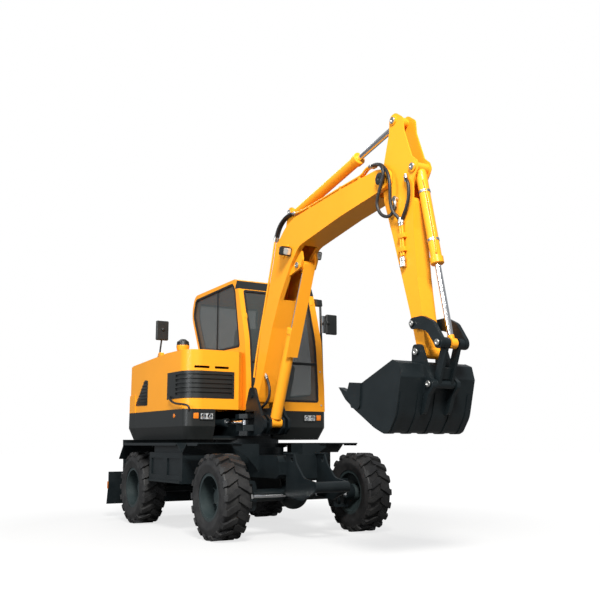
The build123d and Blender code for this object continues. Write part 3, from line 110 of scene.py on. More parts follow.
floor_mesh = bpy.data.meshes.new("floor")
floor_bm = bmesh.new()
bmesh.ops.create_grid(floor_bm, x_segments=1, y_segments=1, size=60)
floor_bm.to_mesh(floor_mesh)
floor_bm.free()
floor = bpy.data.objects.new("floor", floor_mesh)
bpy.context.scene.collection.objects.link(floor)
floor_finish = bpy.data.materials.new("pale floor")
floor_finish.use_nodes = True
tree = floor_finish.node_tree
tree.nodes.clear()
floor_out = tree.nodes.new("ShaderNodeOutputMaterial")
floor_diffuse = tree.nodes.new("ShaderNodeBsdfDiffuse")
floor_diffuse.inputs["Color"].default_value = (0.17, 0.17, 0.17, 1)
floor_glow = tree.nodes.new("ShaderNodeEmission")
floor_glow.inputs["Color"].default_value = (1, 1, 1, 1)
floor_place = tree.nodes.new("ShaderNodeTexCoord")
floor_reach = tree.nodes.new("ShaderNodeVectorMath")
floor_reach.operation = "LENGTH"
floor_fade = tree.nodes.new("ShaderNodeMapRange")
floor_fade.inputs["From Min"].default_value = 2.5
floor_fade.inputs["From Max"].default_value = 7.0
floor_fade.inputs["To Min"].default_value = 0.72
floor_fade.inputs["To Max"].default_value = 1.0
tree.links.new(floor_place.outputs["Object"], floor_reach.inputs[0])
tree.links.new(floor_reach.outputs["Value"], floor_fade.inputs["Value"])
tree.links.new(floor_fade.outputs[0], floor_glow.inputs["Strength"])
floor_sum = tree.nodes.new("ShaderNodeAddShader")
tree.links.new(floor_diffuse.outputs[0], floor_sum.inputs[0])
tree.links.new(floor_glow.outputs[0], floor_sum.inputs[1])
pale_to_camera(tree, floor_diffuse.outputs[0], floor_sum.outputs[0], floor_out.inputs["Surface"])
floor_mesh.materials.append(floor_finish)


def area_lamp(name, place, target, size, power, colour):
    lamp = bpy.data.lights.new(name, "AREA")
    lamp.shape = "DISK"
    lamp.size = size
    lamp.energy = power
    lamp.color = colour
    holder = bpy.data.objects.new(name, lamp)
    holder.location = place
    holder.rotation_euler = (Vector(target) - Vector(place)).to_track_quat("-Z", "Y").to_euler()
    bpy.context.scene.collection.objects.link(holder)


area_lamp("key", (10.0, -4.6, 9.0), (0.6, 0, 1.6), 3.2, 2500, (1.0, 0.98, 0.94))
area_lamp("fill", (3.0, -10.5, 4.0), (0.6, 0, 1.4), 5.0, 640, (0.94, 0.97, 1.0))
area_lamp("back", (-7.0, 2.0, 7.5), (0, 0, 1.4), 5.0, 320, (1.0, 1.0, 1.0))


# ---------------------------------------------------------------- tyres
# Four wide air-filled tyres of black rubber with two rows of slanted lugs,
# dusty grey in patches and more so towards the ground, with darker tones at random.
def weathering_group():
    """Dust in patches and near the ground, fine grain and roughness that varies."""
    group = bpy.data.node_groups.new("weathering", "ShaderNodeTree")
    face = group.interface
    for name, kind, start in [
        ("Colour", "NodeSocketColor", (0.5, 0.5, 0.5, 1)),
        ("Dust colour", "NodeSocketColor", (0.3, 0.26, 0.2, 1)),
        ("Dust", "NodeSocketFloat", 0.2),
        ("Low dust", "NodeSocketFloat", 0.3),
        ("Patch scale", "NodeSocketFloat", 3.0),
        ("Grain scale", "NodeSocketFloat", 120.0),
        ("Tone", "NodeSocketFloat", 0.1),
        ("Roughness", "NodeSocketFloat", 0.4),
    ]:
        socket = face.new_socket(name, in_out="INPUT", socket_type=kind)
        socket.default_value = start
    given_out = [("Colour", "NodeSocketColor"), ("Roughness", "NodeSocketFloat"), ("Height", "NodeSocketFloat")]
    for name, kind in given_out:
        face.new_socket(name, in_out="OUTPUT", socket_type=kind)
    new, link = group.nodes.new, group.links.new
    enter, leave = new("NodeGroupInput"), new("NodeGroupOutput")
    where = new("ShaderNodeTexCoord")
    patches = new("ShaderNodeTexNoise")
    patches.inputs["Detail"].default_value = 6
    patches.inputs["Roughness"].default_value = 0.62
    link(where.outputs["Object"], patches.inputs["Vector"])
    link(enter.outputs["Patch scale"], patches.inputs["Scale"])
    grain = new("ShaderNodeTexNoise")
    grain.inputs["Detail"].default_value = 3
    link(where.outputs["Object"], grain.inputs["Vector"])
    link(enter.outputs["Grain scale"], grain.inputs["Scale"])
    place = new("ShaderNodeSeparateXYZ")
    link(where.outputs["Object"], place.inputs[0])
    low = new("ShaderNodeMapRange")
    low.inputs["From Min"].default_value = 1.1
    low.inputs["From Max"].default_value = 0.1
    link(place.outputs["Z"], low.inputs["Value"])
    low_part = new("ShaderNodeMath")
    low_part.operation = "MULTIPLY"
    link(low.outputs[0], low_part.inputs[0])
    link(enter.outputs["Low dust"], low_part.inputs[1])
    amount = new("ShaderNodeMath")
    amount.operation = "ADD"
    link(low_part.outputs[0], amount.inputs[0])
    link(enter.outputs["Dust"], amount.inputs[1])
    spread = new("ShaderNodeMapRange")
    spread.inputs["From Min"].default_value = 0.38
    spread.inputs["From Max"].default_value = 0.68
    link(patches.outputs["Fac"], spread.inputs["Value"])
    mask = new("ShaderNodeMath")
    mask.operation = "MULTIPLY"
    mask.use_clamp = True
    link(spread.outputs[0], mask.inputs[0])
    link(amount.outputs[0], mask.inputs[1])
    tone_low = new("ShaderNodeMath")
    tone_low.operation = "SUBTRACT"
    tone_low.inputs[0].default_value = 1.0
    link(enter.outputs["Tone"], tone_low.inputs[1])
    tone = new("ShaderNodeMapRange")
    tone.inputs["From Min"].default_value = 0.3
    tone.inputs["From Max"].default_value = 0.7
    tone.inputs["To Max"].default_value = 1.0
    link(tone_low.outputs[0], tone.inputs["To Min"])
    link(patches.outputs["Fac"], tone.inputs["Value"])
    toned = new("ShaderNodeMix")
    toned.data_type = "RGBA"
    toned.blend_type = "MULTIPLY"
    toned.inputs["Factor"].default_value = 1.0
    link(enter.outputs["Colour"], toned.inputs["A"])
    link(tone.outputs[0], toned.inputs["B"])
    dusty = new("ShaderNodeMix")
    dusty.data_type = "RGBA"
    link(mask.outputs[0], dusty.inputs["Factor"])
    link(toned.outputs["Result"], dusty.inputs["A"])
    link(enter.outputs["Dust colour"], dusty.inputs["B"])
    rough_dust = new("ShaderNodeMath")
    rough_dust.operation = "MULTIPLY_ADD"
    rough_dust.inputs[1].default_value = 0.35
    link(mask.outputs[0], rough_dust.inputs[0])
    link(enter.outputs["Roughness"], rough_dust.inputs[2])
    rough_grain = new("ShaderNodeMath")
    rough_grain.operation = "MULTIPLY_ADD"
    rough_grain.inputs[1].default_value = 0.10
    rough_grain.use_clamp = True
    link(grain.outputs["Fac"], rough_grain.inputs[0])
    link(rough_dust.outputs[0], rough_grain.inputs[2])
    link(dusty.outputs["Result"], leave.inputs["Colour"])
    link(rough_grain.outputs[0], leave.inputs["Roughness"])
    link(grain.outputs["Fac"], leave.inputs["Height"])
    return group


weathering = weathering_group()


def finish(name, colour, rough, metallic=0.0, coat=0.0, dust=0.1, low_dust=0.2, patch=3.0, grain=120.0,
           tone=0.1, bump=0.1, depth=0.0005, dust_colour=(0.30, 0.26, 0.20), specular=0.5):
    """A worn surface: the weathering group between these values and one shader."""
    material = bpy.data.materials.new(name)
    material.use_nodes = True
    tree = material.node_tree
    shader = tree.nodes["Principled BSDF"]
    worn = tree.nodes.new("ShaderNodeGroup")
    worn.node_tree = weathering
    values = {
        "Colour": (*colour, 1),
        "Dust colour": (*dust_colour, 1),
        "Dust": dust,
        "Low dust": low_dust,
        "Patch scale": patch,
        "Grain scale": grain,
        "Tone": tone,
        "Roughness": rough,
    }
    for key, value in values.items():
        worn.inputs[key].default_value = value
    relief = tree.nodes.new("ShaderNodeBump")
    relief.inputs["Strength"].default_value = bump
    relief.inputs["Distance"].default_value = depth
    tree.links.new(worn.outputs["Colour"], shader.inputs["Base Color"])
    tree.links.new(worn.outputs["Roughness"], shader.inputs["Roughness"])
    tree.links.new(worn.outputs["Height"], relief.inputs["Height"])
    tree.links.new(relief.outputs["Normal"], shader.inputs["Normal"])
    shader.inputs["Metallic"].default_value = metallic
    shader.inputs["Coat Weight"].default_value = coat
    shader.inputs["Coat Roughness"].default_value = 0.08
    shader.inputs["Specular IOR Level"].default_value = specular
    return material


def dress(material, *names):
    """The finish of a part that keeps its own shape."""
    for name in names:
        mesh = nodes[name].data
        mesh.materials.clear()
        mesh.materials.append(material)


wheel_names = ("front_left", "front_right", "rear_left", "rear_right")
tyre_rubber = finish(
    "tyre rubber", (0.013, 0.013, 0.014), 0.48, dust=0.16, low_dust=0.12, patch=9, grain=260, tone=0.25,
    bump=0.35, depth=0.0012, dust_colour=(0.060, 0.059, 0.056), specular=0.36,
)
dress(tyre_rubber, *("tyre_" + name for name in wheel_names))


# ---------------------------------------------------------------- rims, axles and chassis
# Pressed steel rims, cast axles and the welded box frame, sprayed with a dark
# blue-grey enamel, a lighter one on the rims, that dulls and gathers dust towards the ground.
dark_enamel = finish(
    "dark enamel", (0.007, 0.011, 0.013), 0.32, coat=0.04, dust=0.04, low_dust=0.08, patch=5, grain=180,
    tone=0.25, bump=0.12, depth=0.0008, dust_colour=(0.035, 0.036, 0.035), specular=0.30,
)
rim_enamel = finish(
    "rim enamel", (0.026, 0.038, 0.040), 0.36, coat=0.04, dust=0.06, low_dust=0.08, patch=7, grain=200,
    tone=0.25, bump=0.12, depth=0.0006, dust_colour=(0.070, 0.072, 0.068), specular=0.34,
)
dress(rim_enamel, *("rim_" + name for name in wheel_names))
dress(dark_enamel, "knuckle_left", "knuckle_right", "front_axle", "rear_axle", "chassis", "bucket_rest")
dress(dark_enamel, "fenders_front", "fenders_rear", "step_boxes", "blade", "deck")
dress(dark_enamel, "guide_link", "bucket_link", "bucket")


# ---------------------------------------------------------------- painted bodywork
# Hood, lid, tail weight, cab, boom and arm are sprayed in one warm orange-yellow
# enamel under a clear coat, clean apart from a thin film of dust.
body_enamel = finish(
    "orange enamel", (0.90, 0.345, 0.016), 0.32, coat=0.06, dust=0.02, low_dust=0.05, patch=2.2, grain=260,
    tone=0.06, bump=0.06, depth=0.0005, dust_colour=(0.62, 0.30, 0.06), specular=0.22,
)
dress(body_enamel, "hood", "engine_lid", "counterweight", "cab_shell", "cab_door", "boom", "arm")
dress(body_enamel, "boom_barrel", "arm_barrel", "bucket_barrel")
dress(dark_enamel, "swing_post", "swing_barrel", "blade_barrel", "engine_block")


# ---------------------------------------------------------------- chromed rods
# Ground and chromed steel rods, bright all round with fine drawn lines.
chrome = finish(
    "chrome", (0.80, 0.81, 0.83), 0.08, metallic=1.0, dust=0.0, low_dust=0.0, patch=4, grain=300,
    tone=0.05, bump=0.02, depth=0.0003,
)
dress(chrome, "boom_rod", "arm_rod", "bucket_rod", "swing_rod", "blade_rod", "steering_rod")


# ---------------------------------------------------------------- black mouldings
# Guards, grille, mirrors and intake cap: moulded black plastic and black paint,
# satin, with a fine leather-like grain.
black_moulding = finish(
    "black moulding", (0.014, 0.016, 0.016), 0.36, dust=0.05, low_dust=0.06, patch=4, grain=420, tone=0.15,
    bump=0.25, depth=0.0006, dust_colour=(0.040, 0.040, 0.038), specular=0.40,
)
dress(black_moulding, "guards", "grille", "rail_mirrors", "pre_cleaner", "controls", "seat")


# ---------------------------------------------------------------- glass
# Grey-green tinted safety glass in the cab's windows and door.
tinted_glass = bpy.data.materials.new("tinted glass")
tinted_glass.use_nodes = True
tint = tinted_glass.node_tree.nodes["Principled BSDF"]
tint.inputs["Base Color"].default_value = (0.060, 0.072, 0.070, 1)
tint.inputs["Roughness"].default_value = 0.04
tint.inputs["Alpha"].default_value = 0.52
tint.inputs["Coat Weight"].default_value = 0.5
tint.inputs["Coat Roughness"].default_value = 0.02
dress(tinted_glass, "cab_glass", "door_glass")


# ---------------------------------------------------------------- head lamps
# Clear moulded lenses over bright reflectors, set in the guards.
lamp_glass = finish(
    "lamp glass", (0.72, 0.74, 0.74), 0.12, metallic=0.3, coat=0.8, dust=0.0, low_dust=0.0, patch=30,
    grain=90, tone=0.35, bump=0.4, depth=0.002,
)
dress(lamp_glass, "front_lamps")


# ---------------------------------------------------------------- window rubbers
# Black rubber strips that hold the cab's panes, rounded at the corners and
# pressed into the edge of each opening.
def settle(name, bm, body, material, smooth=38):
    """A finished bmesh becomes a piece of the machine and rides on a body."""
    bmesh.ops.remove_doubles(bm, verts=bm.verts[:], dist=0.00002)
    bmesh.ops.recalc_face_normals(bm, faces=bm.faces[:])
    mesh = bpy.data.meshes.new(name)
    bm.to_mesh(mesh)
    bm.free()
    return show(name, mesh, body, material, smooth)


def show(name, mesh, body, material, smooth=38):
    """A mesh in its place becomes a piece of the machine and rides on a body, if one is given."""
    mesh.materials.clear()
    mesh.materials.append(material)
    mesh.shade_smooth()
    mesh.set_sharp_from_angle(angle=radians(smooth))
    piece = bpy.data.objects.new(name, mesh)
    bpy.context.scene.collection.objects.link(piece)
    if body:
        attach(piece, body)
    return piece


def strip_round(corners, width, depth, corner=0.045):
    """A flat strip inside a window's edge, rounded at its corners, as thick as the vector depth."""
    bm = bmesh.new()
    pane = bm.faces.new([bm.verts.new(place) for place in corners])
    bmesh.ops.bevel(
        bm, geom=bm.verts[:], offset=corner, segments=5, profile=0.5, affect="VERTICES", material=-1,
    )
    bm.faces.ensure_lookup_table()
    pane = bm.faces[0]
    bmesh.ops.inset_region(bm, faces=[pane], thickness=width, use_even_offset=True, use_boundary=True)
    bmesh.ops.delete(bm, geom=[pane], context="FACES")
    made = bmesh.ops.extrude_face_region(bm, geom=bm.faces[:], use_keep_orig=True)
    fresh = [item for item in made["geom"] if isinstance(item, bmesh.types.BMVert)]
    bmesh.ops.translate(bm, vec=depth, verts=fresh)
    return bm


rubber_strip = finish(
    "window rubber", (0.012, 0.012, 0.013), 0.5, dust=0.08, low_dust=0.0, patch=6, grain=500, tone=0.2,
    bump=0.2, depth=0.0004, dust_colour=(0.05, 0.05, 0.048), specular=0.3,
)
rubber_width = 0.024
cab_low, cab_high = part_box("cab_shell")
right_pane, right_wall = -0.158, cab_low.y - 0.0015
left_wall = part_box("door_glass")[1].y + 0.0155
side_panes = {
    # name: (body, y of the outer face, way in, corners as x and z)
    "right_window_rubber": (
        "upper", right_wall, right_pane - right_wall,
        [(0.150, 2.005), (0.010, 2.705), (-0.060, 2.780), (-1.100, 2.738), (-1.160, 2.530), (-0.935, 2.075),
         (-0.850, 2.005)],
    ),
    "left_window_rubber": (
        "upper", left_wall, -0.015,
        [(-0.960, 2.090), (-1.140, 2.540), (-1.085, 2.712), (-0.650, 2.722), (-0.650, 2.090)],
    ),
    "door_window_rubber": (
        "cab_door", left_wall, -0.015,
        [(-0.530, 1.480), (-0.530, 2.690), (-0.110, 2.690), (0.0, 2.290), (0.082, 1.890), (0.082, 1.480)],
    ),
}
for name, (body, y, way, corners) in side_panes.items():
    settle(
        name, strip_round([(x, y, z) for x, z in corners], rubber_width, (0, way, 0)), body,
        rubber_strip,
    )

# the strip between the right window's fixed and sliding pane
divider = bmesh.new()
bmesh.ops.create_cube(
    divider, size=1.0, matrix=Matrix.Translation((-0.468, right_pane - 0.004, 2.385)) @ Matrix.Diagonal(
        (0.030, 0.008, 0.74, 1)
    ),
)
bmesh.ops.bevel(
    divider, geom=divider.edges[:], offset=0.003, segments=2, profile=0.5, affect="EDGES", material=-1,
)
settle("right_window_divider", divider, "upper", rubber_strip)


def cab_face(y, z, way):
    """Where the cab's shell is met at a height, seen from the front (1) or the back (-1)."""
    hit, place, _, _ = nodes["cab_shell"].ray_cast(Vector((3.0 * way, y, z)), Vector((-way, 0, 0)))
    return place.x


def bowed_strip(name, y0, y1, z0, z1, way, pillar_y):
    """A window's strip that follows the bow of the cab's front or back."""
    bm = strip_round(
        [(0, y0, z0), (0, y1, z0), (0, y1, z1), (0, y0, z1)], rubber_width, (-0.014 * way, 0, 0), 0.035,
    )
    steps = 14
    for step in range(1, steps):
        bmesh.ops.bisect_plane(
            bm, geom=bm.verts[:] + bm.edges[:] + bm.faces[:],
            plane_co=(0, 0, z0 + (z1 - z0) * step / steps), plane_no=(0, 0, 1),
        )
    for vert in bm.verts:
        vert.co.x += cab_face(pillar_y, min(max(vert.co.z, z0), z1), way) + 0.0015 * way
    return settle(name, bm, "upper", rubber_strip)


bpy.context.view_layer.update()
bowed_strip("windscreen_rubber", -0.110, 0.778, 1.390, 2.690, 1, 0.82)
bowed_strip("rear_window_rubber", -0.092, 0.772, 2.090, 2.700, -1, 0.81)
screen_rail = bmesh.new()
bmesh.ops.create_cube(
    screen_rail, size=1.0, matrix=Matrix.Translation((cab_face(0.82, 1.84, 1) - 0.012, 0.334, 1.84))
    @ Matrix.Diagonal((0.026, 0.89, 0.030, 1)),
)
bmesh.ops.bevel(
    screen_rail, geom=screen_rail.edges[:], offset=0.004, segments=2, profile=0.5, affect="EDGES",
    material=-1,
)
settle("windscreen_rail", screen_rail, "upper", rubber_strip)


# ---------------------------------------------------------------- cab fittings
# Sun visor over the windscreen, roof button, screen hinges, pillar screws and
# the boxed lamp at the roof's left corner, all screwed to the pressed shell.
def add_slab(bm, corners, depth, corner=0.0, edge=0.0):
    """A plate from its corners and its thickness, with rounded corners and softened edges."""
    part = bmesh.new()
    part.faces.new([part.verts.new(place) for place in corners])
    if corner:
        bmesh.ops.bevel(
            part, geom=part.verts[:], offset=corner, segments=5, profile=0.5, affect="VERTICES",
            material=-1,
        )
    made = bmesh.ops.extrude_face_region(part, geom=part.faces[:])
    fresh = [item for item in made["geom"] if isinstance(item, bmesh.types.BMVert)]
    bmesh.ops.translate(part, vec=depth, verts=fresh)
    if edge:
        bmesh.ops.bevel(
            part, geom=part.edges[:], offset=edge, segments=2, profile=0.5, affect="EDGES", material=-1,
        )
    join_in(bm, part)


def join_in(bm, part):
    """Adds one bmesh to another."""
    bmesh.ops.recalc_face_normals(part, faces=part.faces[:])
    kept = bpy.data.meshes.new("part")
    part.to_mesh(kept)
    part.free()
    bm.from_mesh(kept)
    bpy.data.meshes.remove(kept)


def add_turned(bm, start, toward, profile, steps=24):
    """A closed turned form about the line from start toward a point, from (distance, radius) pairs."""
    part = bmesh.new()
    start = Vector(start)
    along = (Vector(toward) - start).normalized()
    across = along.orthogonal().normalized()
    spots = [part.verts.new(start + along * at + across * radius) for at, radius in profile]
    lines = [part.edges.new(pair) for pair in zip(spots, spots[1:])]
    bmesh.ops.spin(
        part, geom=spots + lines, cent=start, axis=along, angle=2 * pi, steps=steps, use_merge=True,
        dvec=(0, 0, 0),
    )
    bmesh.ops.remove_doubles(part, verts=part.verts[:], dist=0.00002)
    join_in(bm, part)


def bolt(bm, start, toward, size, head=0.6):
    """A six-sided bolt head with its washer; size is the washer's radius."""
    height = size * head
    add_turned(bm, start, toward, [(0, 0), (0, size), (height * 0.25, size), (height * 0.25, size * 0.7),
                                   (height * 0.9, size * 0.7), (height, size * 0.6), (height, 0)], 12)


visor = bmesh.new()
visor_x = cab_face(0.82, 2.74, 1)
add_slab(
    visor,
    [
        (visor_x + 0.004, -0.140, 2.712), (visor_x + 0.004, 0.250, 2.712),
        (visor_x - 0.014, 0.250, 2.772), (visor_x - 0.014, -0.140, 2.772),
    ],
    (-0.02, 0, 0), 0.012, 0.002,
)
settle("roof_visor", visor, "upper", black_moulding)

zinc = finish(
    "zinc plate", (0.62, 0.62, 0.60), 0.30, metallic=1.0, dust=0.05, low_dust=0.0, patch=20, grain=300,
    tone=0.2, bump=0.1, depth=0.0003, dust_colour=(0.30, 0.28, 0.25),
)
screws = bmesh.new()
for z in (1.753, 1.360):
    x = cab_face(0.82, z, 1)
    bolt(screws, (x, 0.815, z), (x + 1, 0.815, z), 0.011)
settle("pillar_screws", screws, "upper", zinc)

cab_trim = bmesh.new()
add_turned(
    cab_trim, (-0.08, -0.125, cab_high.z - 0.022), (-0.08, -0.125, 3),
    [(0, 0), (0, 0.020), (0.030, 0.020), (0.036, 0.016), (0.036, 0)],
)
for y, z in [(-0.125, 2.365), (0.812, 2.600)]:
    x = cab_face(0.82, z, 1)
    add_slab(
        cab_trim,
        [
            (x - 0.01, y - 0.022, z - 0.030), (x - 0.01, y + 0.022, z - 0.030),
            (x - 0.026, y + 0.022, z + 0.030), (x - 0.026, y - 0.022, z + 0.030),
        ],
        (0.022, 0, 0.006), 0.008, 0.002,
    )
settle("screen_hinges", cab_trim, "upper", body_enamel)

corner_lamp = bmesh.new()
add_slab(
    corner_lamp,
    [(0.10, 0.866, 2.570), (0.165, 0.866, 2.570), (0.15, 0.866, 2.655), (0.10, 0.866, 2.655)],
    (0, 0.080, 0), 0.012, 0.004,
)
settle("corner_lamp", corner_lamp, "upper", black_moulding)


# ---------------------------------------------------------------- mirrors
# Two black moulded housings, each with its silvered pane facing the driver and
# an adjusting knob, the right one on an orange bracket that is bolted to the hood.
silvered = finish(
    "mirror pane", (0.75, 0.77, 0.78), 0.03, metallic=1.0, dust=0.0, low_dust=0.0, patch=5, grain=200,
    tone=0.05, bump=0.01, depth=0.0002,
)
panes = bmesh.new()
add_slab(
    panes,
    [(0.2745, 0.859, 2.225), (0.2745, 0.977, 2.225), (0.2745, 0.977, 2.435), (0.2745, 0.859, 2.435)],
    (-0.002, 0, 0), 0.012,
)
add_slab(panes, [(-0.5455, -0.912, 2.123), (-0.5455, -0.788, 2.123), (-0.5455, -0.788, 2.327),
                 (-0.5455, -0.912, 2.327)], (-0.002, 0, 0), 0.012)
settle("mirror_panes", panes, "upper", silvered)
knobs = bmesh.new()
add_turned(
    knobs, (-0.503, -0.850, 2.235), (1, -0.850, 2.235),
    [(0, 0), (0, 0.020), (0.018, 0.017), (0.024, 0.008), (0.024, 0)],
)
add_turned(
    knobs, (0.317, 0.918, 2.345), (1, 0.918, 2.345),
    [(0, 0), (0, 0.022), (0.018, 0.018), (0.024, 0.008), (0.024, 0)],
)
settle("mirror_knobs", knobs, "upper", black_moulding)
foot = bmesh.new()
add_slab(
    foot,
    [(-0.60, -0.872, 1.905), (-0.47, -0.872, 1.905), (-0.50, -0.872, 1.968), (-0.57, -0.872, 1.968)],
    (0, 0.044, 0), 0.014, 0.003,
)
settle("mirror_bracket", foot, "upper", body_enamel)


# ---------------------------------------------------------------- pin ends
# Every hinge of the working gear shows the end of its hardened pin, a bright
# turned disc with a dished centre; the lock plate that holds it is not built.
def pin_end(bm, x, z, y, way, radius, proud=0.010):
    """A turned pin end whose face stands proud of y, on the side given by way."""
    add_turned(
        bm, (x, y, z), (x, y + way, z),
        [
            (0, 0), (0, radius), (proud - 0.003, radius), (proud, radius - 0.003),
            (proud, radius * 0.45), (proud - 0.004, radius * 0.35), (proud - 0.004, 0),
        ],
        32,
    )


middle_y = pivot["boom_lift"].y
pin_rows = {
    # body: [(x, z, half width, radius)]
    "boom": [(1.532, 2.695, 0.104, 0.030), (1.360, 3.290, 0.093, 0.026)],
    "arm": [(3.100, 3.690, 0.0855, 0.030), (3.350, 3.200, 0.0895, 0.030), (3.370, 1.868, 0.1505, 0.024)],
    "bucket": [(3.413, 1.637, 0.1505, 0.028), (3.555, 1.376, 0.1505, 0.026)],
    "bucket_link": [(3.673, 1.686, 0.1505, 0.026)],
}
for body, rows in pin_rows.items():
    ends = bmesh.new()
    for x, z, half, radius in rows:
        for way in (-1, 1):
            pin_end(ends, x, z, middle_y + way * half, way, radius)
    settle("pin_ends_" + body, ends, body, zinc)
tip_x, tip_z = pivot["arm_swing"].x, pivot["arm_swing"].z
tip_cap = bmesh.new()
for way in (-1, 1):
    add_turned(
        tip_cap, (tip_x, middle_y + way * 0.139, tip_z), (tip_x, middle_y + way, tip_z),
        [
            (0, 0), (0, 0.054), (0.010, 0.054), (0.010, 0.047), (0.014, 0.047), (0.014, 0.054),
            (0.022, 0.054), (0.026, 0.046), (0.026, 0.018), (0.020, 0.012), (0.020, 0),
        ],
        32,
    )
settle("tip_pin_caps", tip_cap, "boom", black_moulding)


# ---------------------------------------------------------------- boom and arm pipes
# Steel pipes, painted with the boom, lie along its top in clamps. Black rubber
# hoses in crimped plated ends loop over each joint to the next pipe.
def line_piece(name, points, radius, body, material):
    """A pipe or hose along a smooth line through given points."""
    curve = bpy.data.curves.new(name + "_line", "CURVE")
    curve.dimensions = "3D"
    spline = curve.splines.new("NURBS")
    spline.points.add(len(points) - 1)
    for spot, place in zip(spline.points, points):
        spot.co = (*place, 1)
    spline.order_u = 3
    spline.use_endpoint_u = True
    curve.resolution_u = 10
    curve.bevel_depth = radius
    curve.bevel_resolution = 4
    curve.use_fill_caps = True
    holder = bpy.data.objects.new(name + "_line", curve)
    mesh = bpy.data.meshes.new_from_object(holder)
    bpy.data.objects.remove(holder)
    return show(name, mesh, body, material, 50)


hose_rubber = finish(
    "hose rubber", (0.014, 0.014, 0.015), 0.42, dust=0.06, low_dust=0.0, patch=8, grain=500, tone=0.2,
    bump=0.25, depth=0.0005, dust_colour=(0.05, 0.05, 0.048), specular=0.4,
)
near = middle_y - 0.125


def coupling(bm, start, toward, radius):
    """A crimped hose end with its swivel nut."""
    add_turned(
        bm, start, toward,
        [
            (-0.030, 0), (-0.030, radius * 1.05), (-0.022, radius * 1.25), (0.0, radius * 1.25),
            (0.002, radius * 1.55), (0.020, radius * 1.55), (0.022, radius * 1.1),
            (0.040, radius * 1.1), (0.040, 0),
        ],
        12,
    )


pipe_rows = (near + 0.006, near + 0.034)
for index, y in enumerate(pipe_rows):
    line_piece(
        "boom_pipe_%d" % (index + 1),
        [(1.50, y, 3.235), (1.60, y, 3.226), (1.81, y, 3.236), (2.10, y, 3.260), (2.337, y, 3.281),
         (2.546, y, 3.296), (2.68, y, 3.305), (2.74, y, 3.345), (2.79, y, 3.352), (2.835, y, 3.345)],
        0.0105, "boom", body_enamel,
    )
clamps = bmesh.new()
for x, z in [(1.80, 3.215), (2.337, 3.262), (2.64, 3.278)]:
    add_slab(clamps, [(x - 0.018, near, z - 0.002), (x + 0.018, near, z - 0.002),
                      (x + 0.018, near, z + 0.034), (x - 0.018, near, z + 0.034)], (0, 0.050, 0),
             0.006, 0.002)
settle("boom_clamps", clamps, "boom", body_enamel)


def crossing(piece):
    """A hose over a joint has its placement baked into its mesh; it rides on neither of the two bodies that it
    joins.
    """
    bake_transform(piece)


fittings = bmesh.new()
for y in pipe_rows:
    coupling(fittings, (2.835, y, 3.345), (2.80, y, 3.351), 0.0125)
settle("boom_tip_couplings", fittings, "boom", zinc)
tip_hoses = {
    "tip_hose_1": [
        (2.830, -0.266, 3.346), (2.885, -0.274, 3.345), (2.975, -0.298, 3.318), (3.045, -0.312, 3.272),
        (3.070, -0.316, 3.190), (2.985, -0.316, 3.030), (2.955, -0.312, 2.950), (3.000, -0.302, 2.850),
        (3.085, -0.280, 2.815), (3.126, -0.256, 2.865), (3.128, -0.244, 2.925),
    ],
    "tip_hose_2": [
        (2.830, -0.238, 3.346), (2.900, -0.246, 3.352), (3.010, -0.282, 3.300), (3.110, -0.300, 3.205),
        (3.138, -0.302, 3.080), (3.118, -0.292, 2.935), (3.140, -0.276, 2.840), (3.176, -0.252, 2.800),
        (3.186, -0.243, 2.765),
    ],
}
for name, points in tip_hoses.items():
    hose = line_piece(name, points, 0.0145, None, hose_rubber)
    crossing(hose)
line_piece(
    "arm_hose",
    [(3.277, -0.243, 3.110), (3.305, -0.252, 3.085), (3.324, -0.252, 3.030), (3.320, -0.252, 2.935),
     (3.280, -0.250, 2.850), (3.236, -0.246, 2.800), (3.214, -0.243, 2.765)],
    0.0145, "arm", hose_rubber,
)
arm_side = middle_y - 0.075
arm_couplings = bmesh.new()
coupling(arm_couplings, (3.128, arm_side - 0.022, 2.930), (3.128, arm_side - 0.022, 3.2), 0.0125)
coupling(arm_couplings, (3.277, arm_side - 0.021, 3.112), (3.270, arm_side - 0.021, 3.2), 0.0125)
for x in (3.186, 3.214):
    coupling(arm_couplings, (x, arm_side - 0.021, 2.762), (x, arm_side - 0.021, 2.0), 0.0125)
# the tee and the two shut-off couplers
add_turned(
    arm_couplings, (3.128, arm_side + 0.004, 2.972), (3.128, -1, 2.972),
    [(0, 0), (0, 0.020), (0.018, 0.020), (0.022, 0.026), (0.040, 0.026), (0.044, 0.014), (0.044, 0)],
    12,
)
for x in (3.186, 3.214):
    add_turned(
        arm_couplings, (x + 0.010, arm_side - 0.020, 2.452), (x + 0.014, arm_side - 0.020, 2.2),
        [
            (0, 0), (0, 0.011), (0.012, 0.011), (0.012, 0.019), (0.034, 0.019), (0.036, 0.015),
            (0.060, 0.015), (0.062, 0.020), (0.084, 0.020), (0.088, 0.012), (0.088, 0),
        ],
        18,
    )
settle("arm_couplings", arm_couplings, "arm", zinc)
for index, x in enumerate((3.186, 3.214)):
    line_piece(
        "arm_pipe_%d" % (index + 1),
        [
            (x, arm_side - 0.021, 2.735), (x + 0.002, arm_side - 0.020, 2.69),
            (x + 0.006, arm_side - 0.020, 2.58), (x + 0.010, arm_side - 0.020, 2.46),
        ],
        0.0105, "arm", body_enamel,
    )
arm_blocks = bmesh.new()
for z in (2.632, 2.515):
    add_slab(
        arm_blocks,
        [
            (3.164, arm_side + 0.002, z - 0.02), (3.250, arm_side + 0.002, z - 0.02),
            (3.250, arm_side + 0.002, z + 0.02), (3.164, arm_side + 0.002, z + 0.02),
        ],
        (0, -0.036, 0), 0.006, 0.002,
    )
settle("arm_clamps", arm_blocks, "arm", body_enamel)

